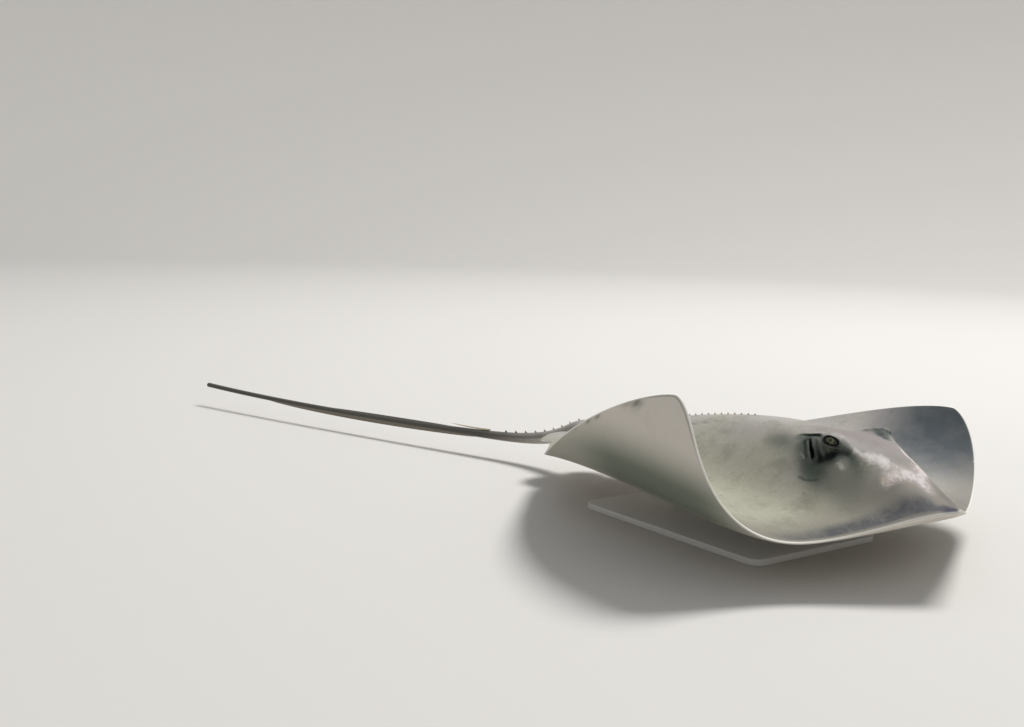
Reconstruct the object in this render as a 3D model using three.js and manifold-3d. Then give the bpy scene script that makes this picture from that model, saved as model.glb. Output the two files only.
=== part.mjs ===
// Southern stingray, a life-size display model on a plain stand.
// The disc is drawn flat first, as a thin lens with a raised back, and is then bent into a
// swimming pose: both pectoral fins curl upward and the snout and the rear edge droop.
// Millimetres, +X toward the snout, +Y the ray's left, +Z up. The origin is the centre of the
// underside of the stand's base.

import * as THREE from 'three';
import { mergeVertices } from 'three/addons/utils/BufferGeometryUtils.js';
import Module from 'manifold-3d';

// ---- Driving dimensions ---------------------------------------------------------------------

const DISC_WIDTH = 1000;            // flat disc, fin corner to fin corner
const HALF_WIDTH = DISC_WIDTH / 2;
const SNOUT_TO_CORNER = 392;        // snout tip back to the widest place
const DISC_LENGTH = 877;            // snout tip back to where the disc ends beside the tail
const LEADING_POWER = 1.465;        // how full the front edges are
const TRAILING_POWER = 1.389;       // how full the rear edges are
const REAR_HALF_WIDTH = 100;        // half width of the disc where the rear edges end
const EDGE_HALF = 2.5;              // half the thickness of the fins' rim

const BACK_HEIGHT = 112;            // top of the back above the middle plane
const SNOUT_RUN = 89;               // how soon the snout rises to that height
const SNOUT_POWER = 1.697;          // how rounded the forehead is
const BACK_FALL_START = 300;        // where the back begins to fall toward the tail
const BACK_FALL_RUN = 580;
const BACK_FALL = 0.794;            // share of the height lost by the tail
const BACK_SPREAD = 99;             // half breadth of the raised back
const SNOUT_SPREAD = 0.5;           // share of that breadth at the snout tip
const SHOULDER = { head: 3, trunk: 2, start: 300, run: 300 };   // how square the back's sides are
const FIN_RUN = 75;                 // how soon the fins reach their full swell
const FIN_RISE = 26;                // swell of the fins above the middle plane
const BELLY_DEPTH = 28;             // belly below the middle plane
const BELLY_RUN = 60;               // how soon it reaches that depth behind the snout
const BELLY_SPREAD = 170;           // half breadth of the flat belly
const FIN_SAG = 9;                  // swell of the fins below the middle plane
const TAPER_START = 480;            // where the trunk begins to taper into the tail
const TAPER_RUN = 397;
const TAPER = { spread: 0.5, fin: 0.7, belly: 0.4, bellySpread: 0.62 };   // shares lost by the tail

const BODY_HALF = 105;              // half breadth of the head and trunk solids
const BODY_NARROWS_AT = 420;        // where the trunk solid begins to narrow
const BODY_HALF_REAR = 66;
const HEAD_LENGTH = 300;            // snout tip to the back of the spiracles
const FIN_STARTS = 57;              // where the fins become wider than the head solid
const GAP = 0.3;                    // clearance between neighbouring solids

const EYE = { back: 196, out: 67, up: 110, radius: 14 };
// The brow stands over the eye, and a low rim closes the spiracle from behind.
const BROW = { back: 198, out: 58, length: 42, breadth: 20, rise: 24 };
const SPIRACLE_RIM = { back: 250, out: 70, length: 34, breadth: 24, rise: 12 };
// The spiracle is a slit turned by 'turn' from the body's length.
const SPIRACLE = { back: 232, out: 72, up: 86, length: 22, breadth: 7, depth: 20, turn: 0.59 };

// Each fin's curl: the angle grows outward from 'start', most at the corner's own station.
const RIGHT_FIN = {
  side: -1, curl: 2.019, curlLean: 0.122, curlFade: -2.069, start: 150, startLean: 0.119,
  power: 1.015, droop: -0.235, sweep: 122,
};
const LEFT_FIN = {
  side: 1, curl: 1.158, curlLean: -0.651, curlFade: -1.137, start: 159, startLean: 0.134,
  power: 0.967, droop: -0.185, sweep: 66,
};
const CURL_SOFTNESS = 0.02;         // how gently the curl sets in
const SWEEP_POWER = 1.5;            // how the forward sweep of a fin grows toward its corner
const DROOP_RUN = 50;               // how soon the middle plane slopes away from the midline
const CORE = { half: 50, blend: 100 };   // the head and back keep upright within this half breadth
const SNOUT_ARCH = 1.946;           // bend of the midline ahead of the widest place
const REAR_ARCH = 0.782;            // bend of the midline behind it
const PITCH = -0.042;               // nose down, radians
const ROLL = -0.024;                // left side down, radians
const CORNER_OVER_BASE = 85;        // the widest place stands this far ahead of the base's centre
const BODY_HEIGHT = 110;            // the middle plane above the floor there

const PELVIC = {
  front: 877.3, length: 64, inner: 30, outer: 98, swell: 15, trail: 16, height: -3, half: 5, edge: 1.5,
};

// The tail runs back from 'root', dips, levels out and swings to the ray's right.
const TAIL = {
  root: 877.3, rootHeight: 4, length: 1187, width: 54, height: 43, endWidth: 12, endHeight: 11,
  taper: 0.16, swing: 0.376, swingRun: 0.12, unwind: -0.099, dip: 0.45, dipRun: 0.13,
  rootSlope: 0.119, rootRun: 0.03, level: -0.065, lift: 0.051,
};
const TAIL_CUTS = [0, 0.22, 0.58, 1];   // the tail's three lengths, as shares of it
const THORN_ROOT = 3;                    // how deep a thorn's foot is set
const THORN_STRETCH = 1.6;               // length of a thorn's foot over its breadth
const FOLD = { start: 0.27, end: 0.8, depth: 10, halfWidth: 1.6 };   // skin fold under the tail
const KEEL = { start: 0.33, end: 0.62, height: 3.5 };                // low ridge on top
const FOLD_BLUNTNESS = 0.6;              // below 1 the fold and the keel rise fast at their ends
const FOLD_ROOT = 0.3;                   // share of the tail's half breadth they rise from
const STING = {
  start: 0.238, length: 104, width: 8, thickness: 4, teeth: 9, lift: 5,
  thinning: 0.85, notch: 0.72, shoulder: 0.3,
};

const BACK_THORNS = { first: 428, last: 842, count: 27, height: 4, radius: 2.6, lean: 2 };
const TAIL_THORNS = { first: 0.02, last: 0.2, count: 9, height: 5, radius: 3, lean: 3 };

const BASE = { length: 440, width: 320, thickness: 12, corner: 24 };
// Each rod stands under the trunk, 'front' and 'rear' behind the snout, and flares into a pad.
const RODS = {
  front: 330, rear: 600, radius: 6, padRadius: 15, padHeight: 6, padRim: 1, sides: 20,
};

// How finely the solids are divided.
const BEND_STEPS = 48;
const TAIL_STEPS = 36;
const TAIL_PATH_STEPS = 160;
const TAIL_SIDES = 12;
const HEAD_COLUMNS = 18;
const TRUNK_COLUMNS = 12;
const FIN_COLUMNS = 13;
const PELVIC_COLUMNS = 6;
const PELVIC_STATIONS = 8;
const PELVIC_TURN = 1.36;                // how far the lobe's round end is followed, radians
const FIRST_STATION = 1;                 // the snout's first cross-section, behind its tip
const SNOUT_COUNT = 5;
const HEAD_COUNT = 16;
const TRUNK_COUNT = 19;
const EYE_DETAIL = 2;
const SPIRACLE_SIDES = 10;
const SPIRACLE_RINGS = 6;
const CORNER_SIDES = 6;
const TAIL_CAPS = 3;                     // rings added to each length of the tail
const WELD = 0.001;


// ---- Outline and thickness of the flat disc -------------------------------------------------
// 'back' is the distance behind the snout tip, 'out' the distance from the midline.

function smooth(value) {
  const share = Math.min(Math.max(value, 0), 1);
  return share * share * (3 - 2 * share);
}

function halfWidth(back) {
  if (back < SNOUT_TO_CORNER) {
    return HALF_WIDTH * (1 - (1 - back / SNOUT_TO_CORNER) ** LEADING_POWER);
  }
  const run = (back - SNOUT_TO_CORNER) / (DISC_LENGTH - SNOUT_TO_CORNER);
  return HALF_WIDTH - (HALF_WIDTH - REAR_HALF_WIDTH) * run ** TRAILING_POWER;
}

function bodyHalf(back) {
  const run = Math.max(back - BODY_NARROWS_AT, 0) / (DISC_LENGTH - BODY_NARROWS_AT);
  return Math.min(halfWidth(back), BODY_HALF - (BODY_HALF - BODY_HALF_REAR) * run);
}

function mound(back, out, shape) {
  const along = (back - shape.back) / shape.length;
  const across = (out - shape.out) / shape.breadth;
  return shape.rise * Math.exp(-along * along - across * across);
}

function taper(back, lost) {
  return 1 - lost * smooth((back - TAPER_START) / TAPER_RUN);
}

function topHeight(back, out) {
  const share = Math.min(out / halfWidth(back), 1);
  const fin = FIN_RISE * (1 - Math.exp(-back / FIN_RUN)) * taper(back, TAPER.fin);
  const rise = 1 - Math.exp(-((back / SNOUT_RUN) ** SNOUT_POWER));
  const fall = 1 - BACK_FALL * smooth((back - BACK_FALL_START) / BACK_FALL_RUN);
  const ridge = Math.max(BACK_HEIGHT * rise * fall - fin - EDGE_HALF, 0);
  const widen = SNOUT_SPREAD + (1 - SNOUT_SPREAD) * smooth(back / EYE.back);
  const spread = BACK_SPREAD * widen * taper(back, TAPER.spread);
  const later = smooth((back - SHOULDER.start) / SHOULDER.run);
  const square = SHOULDER.head + (SHOULDER.trunk - SHOULDER.head) * later;
  const mounds = mound(back, out, BROW) + mound(back, out, SPIRACLE_RIM);
  const raised = ridge * Math.exp(-((out / spread) ** square)) + mounds;
  return EDGE_HALF + fin * (1 - share ** 2) + raised * (1 - share ** 4);
}

function bellyHeight(back, out) {
  const share = Math.min(out / halfWidth(back), 1);
  const grow = 1 - Math.exp(-back / BELLY_RUN);
  const fin = FIN_SAG * grow * taper(back, TAPER.fin);
  const belly = Math.max(BELLY_DEPTH * grow * taper(back, TAPER.belly) - fin - EDGE_HALF, 0);
  const spread = BELLY_SPREAD * taper(back, TAPER.bellySpread);
  const lowered = belly * Math.exp(-((out / spread) ** 2));
  return -EDGE_HALF - fin * (1 - share ** 2) - lowered * (1 - share ** 4);
}

// ---- Bending the flat disc into its pose ----------------------------------------------------

function pastStart(out, start) {
  const ramp = (s) => {
    const share = (s - start) / (HALF_WIDTH - start);
    return 0.5 * (share + Math.sqrt(share * share + CURL_SOFTNESS));
  };
  return Math.max(ramp(out) - ramp(0), 0);
}

function onFin(back, out, fin, height) {
  const lengthAhead = SNOUT_TO_CORNER - back;
  const ahead = lengthAhead / DISC_WIDTH;
  const curl = fin.curl * (1 + fin.curlLean * ahead + fin.curlFade * ahead ** 2);
  const start = fin.start + fin.startLean * lengthAhead;
  const curlAt = (s) => curl * pastStart(s, start) ** fin.power;
  const angleAt = (s) => curlAt(s) + fin.droop * (1 - Math.exp(-((s / DROOP_RUN) ** 2)));
  let across = 0;
  let up = 0;
  for (let step = 0; step < BEND_STEPS; step += 1) {
    const angle = angleAt((step + 0.5) * out / BEND_STEPS);
    across += Math.cos(angle) * out / BEND_STEPS;
    up += Math.sin(angle) * out / BEND_STEPS;
  }
  const arch = ahead > 0 ? SNOUT_ARCH : REAR_ARCH;
  let along = fin.sweep * pastStart(out, start) ** SWEEP_POWER;
  let rise = 0;
  for (let step = 0; step < BEND_STEPS; step += 1) {
    const slope = arch * ((step + 0.5) * ahead / BEND_STEPS) ** 2;
    along += Math.cos(slope) * lengthAhead / BEND_STEPS;
    rise += Math.sin(slope) * lengthAhead / BEND_STEPS;
  }
  const slope = arch * ahead ** 2;
  const lean = curlAt(out) + fin.droop * smooth((out - CORE.half) / CORE.blend);
  across -= Math.sin(lean) * height;
  up += Math.cos(lean) * height;
  return new THREE.Vector3(
    along - up * Math.sin(slope),
    fin.side * across,
    rise + up * Math.cos(slope),
  );
}

// A signed distance from the midline picks the fin: left is positive.
function onDisc(back, across, height) {
  const fin = across < 0 ? RIGHT_FIN : LEFT_FIN;
  return onFin(back, Math.abs(across), fin, height);
}

// ---- Closed solids from rings ---------------------------------------------------------------

// Every ring holds the same even number of points: the first half runs across the top and the
// second half comes back along the bottom.
function loft(rings) {
  const size = rings[0].length;
  const positions = rings.flat().flatMap((point) => [point.x, point.y, point.z]);
  const faces = [];
  const quad = (a, b, c, d) => faces.push(a, b, c, a, c, d);
  for (let ring = 0; ring < rings.length - 1; ring += 1) {
    for (let i = 0; i < size; i += 1) {
      const next = (i + 1) % size;
      quad(ring * size + i, ring * size + next, (ring + 1) * size + next, (ring + 1) * size + i);
    }
  }
  const last = (rings.length - 1) * size;
  for (let i = 0; i < size / 2 - 1; i += 1) {
    const opposite = size - 1 - i;
    quad(i, opposite, opposite - 1, i + 1);
    quad(last + i + 1, last + opposite - 1, last + opposite, last + i);
  }
  const geometry = new THREE.BufferGeometry();
  geometry.setAttribute('position', new THREE.Float32BufferAttribute(positions, 3));
  geometry.setIndex(faces);
  return facingOut(geometry);
}

function volume(geometry) {
  const points = geometry.getAttribute('position');
  const index = geometry.getIndex();
  const corner = [new THREE.Vector3(), new THREE.Vector3(), new THREE.Vector3()];
  let total = 0;
  for (let face = 0; face < index.count; face += 3) {
    corner.forEach((point, k) => point.fromBufferAttribute(points, index.getX(face + k)));
    total += corner[0].dot(corner[1].cross(corner[2])) / 6;
  }
  return total;
}

function facingOut(geometry) {
  if (volume(geometry) < 0) {
    const index = geometry.getIndex().array;
    for (let face = 0; face < index.length; face += 3) {
      [index[face + 1], index[face + 2]] = [index[face + 2], index[face + 1]];
    }
  }
  return geometry;
}

// One cross-section of the disc from 'from' to 'to', both signed distances from the midline.
function discRing(back, from, to, columns) {
  const ring = [];
  for (let i = 0; i <= columns; i += 1) {
    const across = from + (to - from) * i / columns;
    ring.push(onDisc(back, across, topHeight(back, Math.abs(across))));
  }
  for (let i = columns; i >= 0; i -= 1) {
    const across = from + (to - from) * i / columns;
    ring.push(onDisc(back, across, bellyHeight(back, Math.abs(across))));
  }
  return ring;
}

function disc(stations, reach, columns) {
  return loft(stations.map((back) => {
    const [from, to] = reach(back);
    return discRing(back, from, to, columns);
  }));
}

function stations(from, to, count) {
  return Array.from({ length: count }, (_, i) => from + (to - from) * i / (count - 1));
}

// ---- Joining and cutting --------------------------------------------------------------------

const wasm = await Module();
wasm.setup();

function toSolid(geometry) {
  const bare = geometry.clone();
  bare.deleteAttribute('normal');
  bare.deleteAttribute('uv');
  const merged = mergeVertices(bare, WELD);
  return new wasm.Manifold(new wasm.Mesh({
    numProp: 3,
    vertProperties: new Float32Array(merged.getAttribute('position').array),
    triVerts: new Uint32Array(merged.getIndex().array),
  }));
}

function toGeometry(solid) {
  const mesh = solid.getMesh();
  const geometry = new THREE.BufferGeometry();
  geometry.setAttribute('position', new THREE.Float32BufferAttribute(mesh.vertProperties, 3));
  geometry.setIndex(Array.from(mesh.triVerts));
  return geometry;
}

function join(geometry, additions) {
  return toGeometry(additions.reduce((solid, piece) => solid.add(toSolid(piece)), toSolid(geometry)));
}

function cut(geometry, tools) {
  return toGeometry(tools.reduce((solid, tool) => solid.subtract(toSolid(tool)), toSolid(geometry)));
}

// ---- Thorns ---------------------------------------------------------------------------------

// A low four-sided thorn that stands on 'foot' along 'up' and leans toward 'rearward'.
function thorn(foot, up, rearward, { radius, height, lean }) {
  const side = new THREE.Vector3().crossVectors(up, rearward).normalize();
  const base = foot.clone().addScaledVector(up, -THORN_ROOT);
  const ring = [];
  for (const [along, across] of [[-1, 0], [0, 1], [1, 0], [0, -1]]) {
    ring.push(base.clone().addScaledVector(rearward, along * radius * THORN_STRETCH)
      .addScaledVector(side, across * radius));
  }
  const tip = foot.clone().addScaledVector(up, height).addScaledVector(rearward, lean);
  const geometry = new THREE.BufferGeometry();
  const positions = [...ring, tip].flatMap((point) => [point.x, point.y, point.z]);
  geometry.setAttribute('position', new THREE.Float32BufferAttribute(positions, 3));
  geometry.setIndex([0, 1, 4, 1, 2, 4, 2, 3, 4, 3, 0, 4, 0, 2, 1, 0, 3, 2]);
  return facingOut(geometry);
}

function backThorns() {
  return stations(BACK_THORNS.first, BACK_THORNS.last, BACK_THORNS.count).map((back) => {
    const top = topHeight(back, 0);
    const foot = onDisc(back, 0, top);
    const up = onDisc(back, 0, top + 1).sub(foot);
    const rearward = onDisc(back + 1, 0, topHeight(back + 1, 0)).sub(foot).normalize();
    return thorn(foot, up, rearward, BACK_THORNS);
  });
}

// ---- Head, trunk and fins -------------------------------------------------------------------

const SNOUT_STATIONS = stations(FIRST_STATION, FIN_STARTS, SNOUT_COUNT);
const HEAD_STATIONS = stations(FIN_STARTS, HEAD_LENGTH, HEAD_COUNT);
const TRUNK_STATIONS = stations(HEAD_LENGTH + GAP, DISC_LENGTH, TRUNK_COUNT);
const FIN_STATIONS = [...HEAD_STATIONS, ...TRUNK_STATIONS.slice(1)];

function eyeball(side, radius) {
  const centre = onDisc(EYE.back, side * EYE.out, EYE.up);
  return new THREE.IcosahedronGeometry(radius, EYE_DETAIL).translate(centre.x, centre.y, centre.z);
}

function spiracle(side) {
  const centre = onDisc(SPIRACLE.back, side * SPIRACLE.out, SPIRACLE.up);
  return new THREE.SphereGeometry(1, SPIRACLE_SIDES, SPIRACLE_RINGS)
    .rotateX(Math.PI / 2)
    .scale(SPIRACLE.length, SPIRACLE.breadth, SPIRACLE.depth)
    .rotateZ(side * SPIRACLE.turn)
    .translate(centre.x, centre.y, centre.z);
}

function headGeometry() {
  const reach = (back) => [bodyHalf(back), -bodyHalf(back)];
  const body = disc([...SNOUT_STATIONS, ...HEAD_STATIONS.slice(1)], reach, HEAD_COLUMNS);
  const hollows = [1, -1].flatMap((side) => [eyeball(side, EYE.radius + GAP), spiracle(side)]);
  return cut(body, hollows);
}

function trunkGeometry() {
  const reach = (back) => [bodyHalf(back), -bodyHalf(back)];
  return join(disc(TRUNK_STATIONS, reach, TRUNK_COLUMNS), backThorns());
}

// The right fin is drawn from its edge inward, so that its inner wall folds along the same
// diagonals as the trunk's wall and the gap between them keeps one width.
function pectoralGeometry(side) {
  const inner = (back) => side * (bodyHalf(back) + GAP);
  const outer = (back) => side * halfWidth(back);
  const reach = (back) => (side > 0 ? [inner(back), outer(back)] : [outer(back), inner(back)]);
  return disc(FIN_STATIONS, reach, FIN_COLUMNS);
}

// A flat rounded lobe on each side of the tail's root.
function pelvicGeometry(side) {
  const shares = stations(0, 1, PELVIC_COLUMNS);
  return loft(stations(0, 1, PELVIC_STATIONS).map((run) => {
    const turn = run * PELVIC_TURN;
    const outer = PELVIC.outer + PELVIC.swell * Math.sin(2 * turn);
    const width = (outer - PELVIC.inner) * Math.cos(turn);
    const point = (share, sign) => {
      const thin = Math.max(share, run) ** 2;
      const half = PELVIC.half + (PELVIC.edge - PELVIC.half) * thin;
      const back = PELVIC.front + PELVIC.length * Math.sin(turn) + PELVIC.trail * run * share;
      return onDisc(back, side * (PELVIC.inner + width * share), PELVIC.height + sign * half);
    };
    const bottom = shares.map((share) => point(share, -1)).reverse();
    return [...shares.map((share) => point(share, 1)), ...bottom];
  }));
}

// ---- Tail -----------------------------------------------------------------------------------

function tailAt(share) {
  const point = onDisc(TAIL.root, 0, TAIL.rootHeight);
  const direction = new THREE.Vector3();
  const steps = Math.max(Math.round(share * TAIL_PATH_STEPS), 1);
  for (let step = 0; step <= steps; step += 1) {
    const here = share * Math.min(step + 0.5, steps) / steps;
    const turn = TAIL.swing * (1 - Math.exp(-((here / TAIL.swingRun) ** 2))) + TAIL.unwind * here ** 2;
    const ease = 1 - Math.exp(-((here / TAIL.rootRun) ** 2));
    const dip = (TAIL.rootSlope * (1 - ease) + TAIL.dip * ease) * Math.exp(-((here / TAIL.dipRun) ** 2));
    const slope = TAIL.level + TAIL.lift * here ** 2 - dip;
    direction.set(-Math.cos(turn) * Math.cos(slope), -Math.sin(turn) * Math.cos(slope), Math.sin(slope));
    if (step < steps) {
      point.addScaledVector(direction, TAIL.length * share / steps);
    }
  }
  const left = new THREE.Vector3(0, 0, 1).cross(direction).negate().normalize();
  const up = new THREE.Vector3().crossVectors(left, direction).normalize();
  const thin = Math.exp(-share / TAIL.taper);
  const halfWide = (TAIL.endWidth + (TAIL.width - TAIL.endWidth) * thin) / 2;
  const halfHigh = (TAIL.endHeight + (TAIL.height - TAIL.endHeight) * thin) / 2;
  return { point, direction, left, up, halfWide, halfHigh };
}

function swell(share, shape) {
  const run = (share - shape.start) / (shape.end - shape.start);
  return run <= 0 || run >= 1 ? 0 : Math.sin(run * Math.PI) ** FOLD_BLUNTNESS;
}

function tailRing(share) {
  const { point, left, up, halfWide, halfHigh } = tailAt(share);
  const fold = swell(share, FOLD);
  const keel = swell(share, KEEL);
  const at = (across, height) => point.clone().addScaledVector(left, across).addScaledVector(up, height);
  const ring = [];
  for (let i = 0; i < TAIL_SIDES; i += 1) {
    const angle = (i + 0.5) * 2 * Math.PI / TAIL_SIDES;
    const across = Math.cos(angle) * halfWide;
    const height = Math.sin(angle) * halfHigh;
    const middle = Math.abs(Math.cos(angle)) < FOLD_ROOT;
    if (middle && height < 0 && fold > 0) {
      ring.push(at(Math.sign(across) * FOLD.halfWidth, height - FOLD.depth * fold));
    } else if (middle && height > 0 && keel > 0) {
      ring.push(at(Math.sign(across) * FOLD.halfWidth, height + KEEL.height * keel));
    } else {
      ring.push(at(across, height));
    }
  }
  return ring;
}

function tailThorns() {
  return stations(TAIL_THORNS.first, TAIL_THORNS.last, TAIL_THORNS.count).map((share) => {
    const { point, direction, up, halfHigh } = tailAt(share);
    const foot = point.clone().addScaledVector(up, halfHigh);
    return thorn(foot, up, direction, TAIL_THORNS);
  });
}

function tailGeometry(index) {
  const from = TAIL_CUTS[index] + (index > 0 ? GAP / TAIL.length : 0);
  const to = TAIL_CUTS[index + 1];
  const count = Math.round((to - from) * TAIL_STEPS) + TAIL_CAPS;
  const body = loft(stations(from, to, count).map(tailRing));
  return index === 0 ? join(body, tailThorns()) : body;
}

function stingGeometry() {
  const rings = [];
  for (let i = 0; i <= STING.teeth * 2; i += 1) {
    const run = i / (STING.teeth * 2);
    const { point, left, up, halfHigh } = tailAt(STING.start + run * STING.length / TAIL.length);
    const thin = 1 - STING.thinning * run ** 2;
    const tooth = i % 2 === 0 ? 1 : STING.notch;
    const wide = STING.width / 2 * thin * tooth;
    const high = STING.thickness / 2 * thin;
    const middle = halfHigh + GAP + STING.thickness / 2 + STING.lift * run ** 2;
    const low = high * STING.shoulder;
    const at = (across, height) => point.clone().addScaledVector(left, across)
      .addScaledVector(up, middle + height);
    rings.push([at(wide, low), at(0, high), at(-wide, low), at(-wide, -low), at(0, -high), at(wide, -low)]);
  }
  return loft(rings);
}

// ---- Stand ----------------------------------------------------------------------------------

function baseGeometry() {
  const x = BASE.length / 2;
  const y = BASE.width / 2;
  const r = BASE.corner;
  const outline = new THREE.Shape();
  outline.moveTo(x, -y + r);
  outline.lineTo(x, y - r);
  outline.absarc(x - r, y - r, r, 0, Math.PI / 2);
  outline.lineTo(-x + r, y);
  outline.absarc(-x + r, y - r, r, Math.PI / 2, Math.PI);
  outline.lineTo(-x, -y + r);
  outline.absarc(-x + r, -y + r, r, Math.PI, Math.PI * 1.5);
  outline.lineTo(x - r, -y);
  outline.absarc(x - r, -y + r, r, Math.PI * 1.5, Math.PI * 2);
  return new THREE.ExtrudeGeometry(outline, {
    depth: BASE.thickness, bevelEnabled: false, curveSegments: CORNER_SIDES,
  });
}

// A round rod with a flared pad, cut to the belly that rests on it.
function rodGeometry(back, belly, frame) {
  const under = onDisc(back, 0, bellyHeight(back, 0)).applyMatrix4(frame);
  const padTop = under.z + RODS.padHeight;
  const padFoot = under.z - RODS.padHeight;
  const foot = BASE.thickness + GAP;
  const profile = [[0, foot], [RODS.radius, foot], [RODS.radius, padFoot],
    [RODS.padRadius, under.z - RODS.padRim], [RODS.padRadius, padTop], [0, padTop]];
  const rod = new THREE.LatheGeometry(profile.map(([r, z]) => new THREE.Vector2(r, z)), RODS.sides)
    .rotateX(Math.PI / 2)
    .translate(under.x, under.y, 0);
  return cut(rod, [belly]);
}

// ---- The model ------------------------------------------------------------------------------

const skin = { color: 0x98958a, roughness: 0.55, metalness: 0 };
const tailSkin = { color: 0x66645e, roughness: 0.6, metalness: 0 };
const eye = { color: 0x17150f, roughness: 0.08, metalness: 0 };
const sting = { color: 0xb9ad8f, roughness: 0.45, metalness: 0 };
const paintedSteel = { color: 0xb9bab8, roughness: 0.5, metalness: 0 };
const bareSteel = { color: 0xa7a8a9, roughness: 0.3, metalness: 1 };

function piece(name, geometry, look) {
  const mesh = new THREE.Mesh(geometry, new THREE.MeshStandardMaterial(look));
  mesh.name = name;
  return mesh;
}

const ray = new THREE.Group();
ray.position.set(CORNER_OVER_BASE, 0, BODY_HEIGHT);
ray.rotation.set(ROLL, -PITCH, 0, 'YXZ');
ray.updateMatrixWorld();

const trunk = trunkGeometry();
ray.add(piece('head', headGeometry(), skin));
ray.add(piece('trunk', trunk, skin));
for (const [hand, side] of [['left', 1], ['right', -1]]) {
  ray.add(piece(`fin_pectoral_${hand}`, pectoralGeometry(side), skin));
  ray.add(piece(`fin_pelvic_${hand}`, pelvicGeometry(side), skin));
  ray.add(piece(`eye_${hand}`, eyeball(side, EYE.radius), eye));
}
['tail_base', 'tail_middle', 'tail_end'].forEach((name, index) => {
  ray.add(piece(name, tailGeometry(index), tailSkin));
});
ray.add(piece('tail_sting', stingGeometry(), sting));

const belly = trunk.clone().applyMatrix4(ray.matrixWorld).translate(0, 0, -GAP);
const model = new THREE.Group();
model.add(ray);
model.add(piece('stand_base', baseGeometry(), paintedSteel));
model.add(piece('stand_rod_front', rodGeometry(RODS.front, belly, ray.matrixWorld), bareSteel));
model.add(piece('stand_rod_rear', rodGeometry(RODS.rear, belly, ray.matrixWorld), bareSteel));

export default model;
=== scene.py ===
# %% [markdown]
# # A southern stingray on a display stand
# A ray is one wide, thin body: the head and trunk are a low hill in the middle, and the pectoral
# fins run from the snout to the tail as one soft sheet. The easiest way to draw such a body is
# flat, like a plan, and to bend the finished plan into its swimming pose afterwards.
#
# The packed model is loaded first. It gives the place of every piece, so nothing is fitted by eye.

# %% Load the frame
import math

import bmesh
import bpy
import numpy as np
from mathutils import Matrix, Vector


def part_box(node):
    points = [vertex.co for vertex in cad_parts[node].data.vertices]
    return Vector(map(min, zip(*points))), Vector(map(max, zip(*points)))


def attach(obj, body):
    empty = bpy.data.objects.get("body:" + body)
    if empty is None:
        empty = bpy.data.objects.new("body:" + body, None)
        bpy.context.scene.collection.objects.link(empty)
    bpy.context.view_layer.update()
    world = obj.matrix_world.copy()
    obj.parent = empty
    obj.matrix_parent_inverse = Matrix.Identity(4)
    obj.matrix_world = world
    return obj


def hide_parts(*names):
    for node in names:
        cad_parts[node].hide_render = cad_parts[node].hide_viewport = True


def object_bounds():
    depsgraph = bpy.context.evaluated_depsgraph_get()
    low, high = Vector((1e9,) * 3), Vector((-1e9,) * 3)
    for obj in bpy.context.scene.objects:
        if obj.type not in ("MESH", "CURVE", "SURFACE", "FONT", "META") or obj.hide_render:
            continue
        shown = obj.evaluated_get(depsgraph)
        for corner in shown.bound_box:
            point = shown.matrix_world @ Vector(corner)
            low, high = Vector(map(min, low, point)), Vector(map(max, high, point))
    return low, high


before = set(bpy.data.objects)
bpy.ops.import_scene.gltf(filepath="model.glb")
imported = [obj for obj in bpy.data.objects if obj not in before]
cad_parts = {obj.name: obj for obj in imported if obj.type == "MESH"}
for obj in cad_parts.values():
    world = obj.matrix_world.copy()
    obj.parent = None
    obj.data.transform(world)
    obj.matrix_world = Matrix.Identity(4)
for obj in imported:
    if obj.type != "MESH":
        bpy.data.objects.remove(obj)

cad_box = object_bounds()
MM = 0.001
scene = bpy.context.scene
print("solids:", ", ".join(sorted(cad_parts)))

# %% [markdown]
# ## The plan of the disc
# A place on the plan is given by `back`, its distance behind the snout tip, and `out`, its
# distance from the midline, in millimetres. Two power curves give the outline: one from the snout
# to the widest place and one from there to the tail. The last few centimetres round in to the tail.

# %% Outline of the disc
DISC_WIDTH, SNOUT_TO_CORNER, DISC_LENGTH = 1000.0, 392.0, 877.0
HALF = DISC_WIDTH / 2
LEADING_POWER, TRAILING_POWER = 1.465, 1.389
REAR_HALF, REAR_ROUND, REAR_POWER, TAIL_HALF = 100.0, 32.0, 2.5, 27.0


def smooth(value):
    share = np.clip(value, 0.0, 1.0)
    return share * share * (3 - 2 * share)


def half_width(back):
    ahead = np.clip(1 - back / SNOUT_TO_CORNER, 0, 1)
    behind = np.clip((back - SNOUT_TO_CORNER) / (DISC_LENGTH - SNOUT_TO_CORNER), 0, 1)
    width = HALF - HALF * ahead ** LEADING_POWER - (HALF - REAR_HALF) * behind ** TRAILING_POWER
    corner = np.clip((back - DISC_LENGTH + REAR_ROUND) / REAR_ROUND, 0, 1)
    return width - (width - TAIL_HALF) * (1 - (1 - corner ** REAR_POWER) ** (1 / REAR_POWER))


def rim_distance(back, out):
    slope = half_width(back + 0.5) - half_width(back - 0.5)
    return np.maximum(half_width(back) - out, 0) / np.sqrt(1 + slope ** 2)


print("the disc is", round(2 * float(half_width(np.float64(SNOUT_TO_CORNER)))), "mm wide")

# %% [markdown]
# ## Heights over the plan
# The top of the body is a height over the plan: a thin lens for the fins, a raised back in the
# middle, and a mound over each eye. The underside is a second, flatter height. Both go to nothing
# at the rim in a quarter circle, which gives the fins a soft edge instead of a knife edge.

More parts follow.
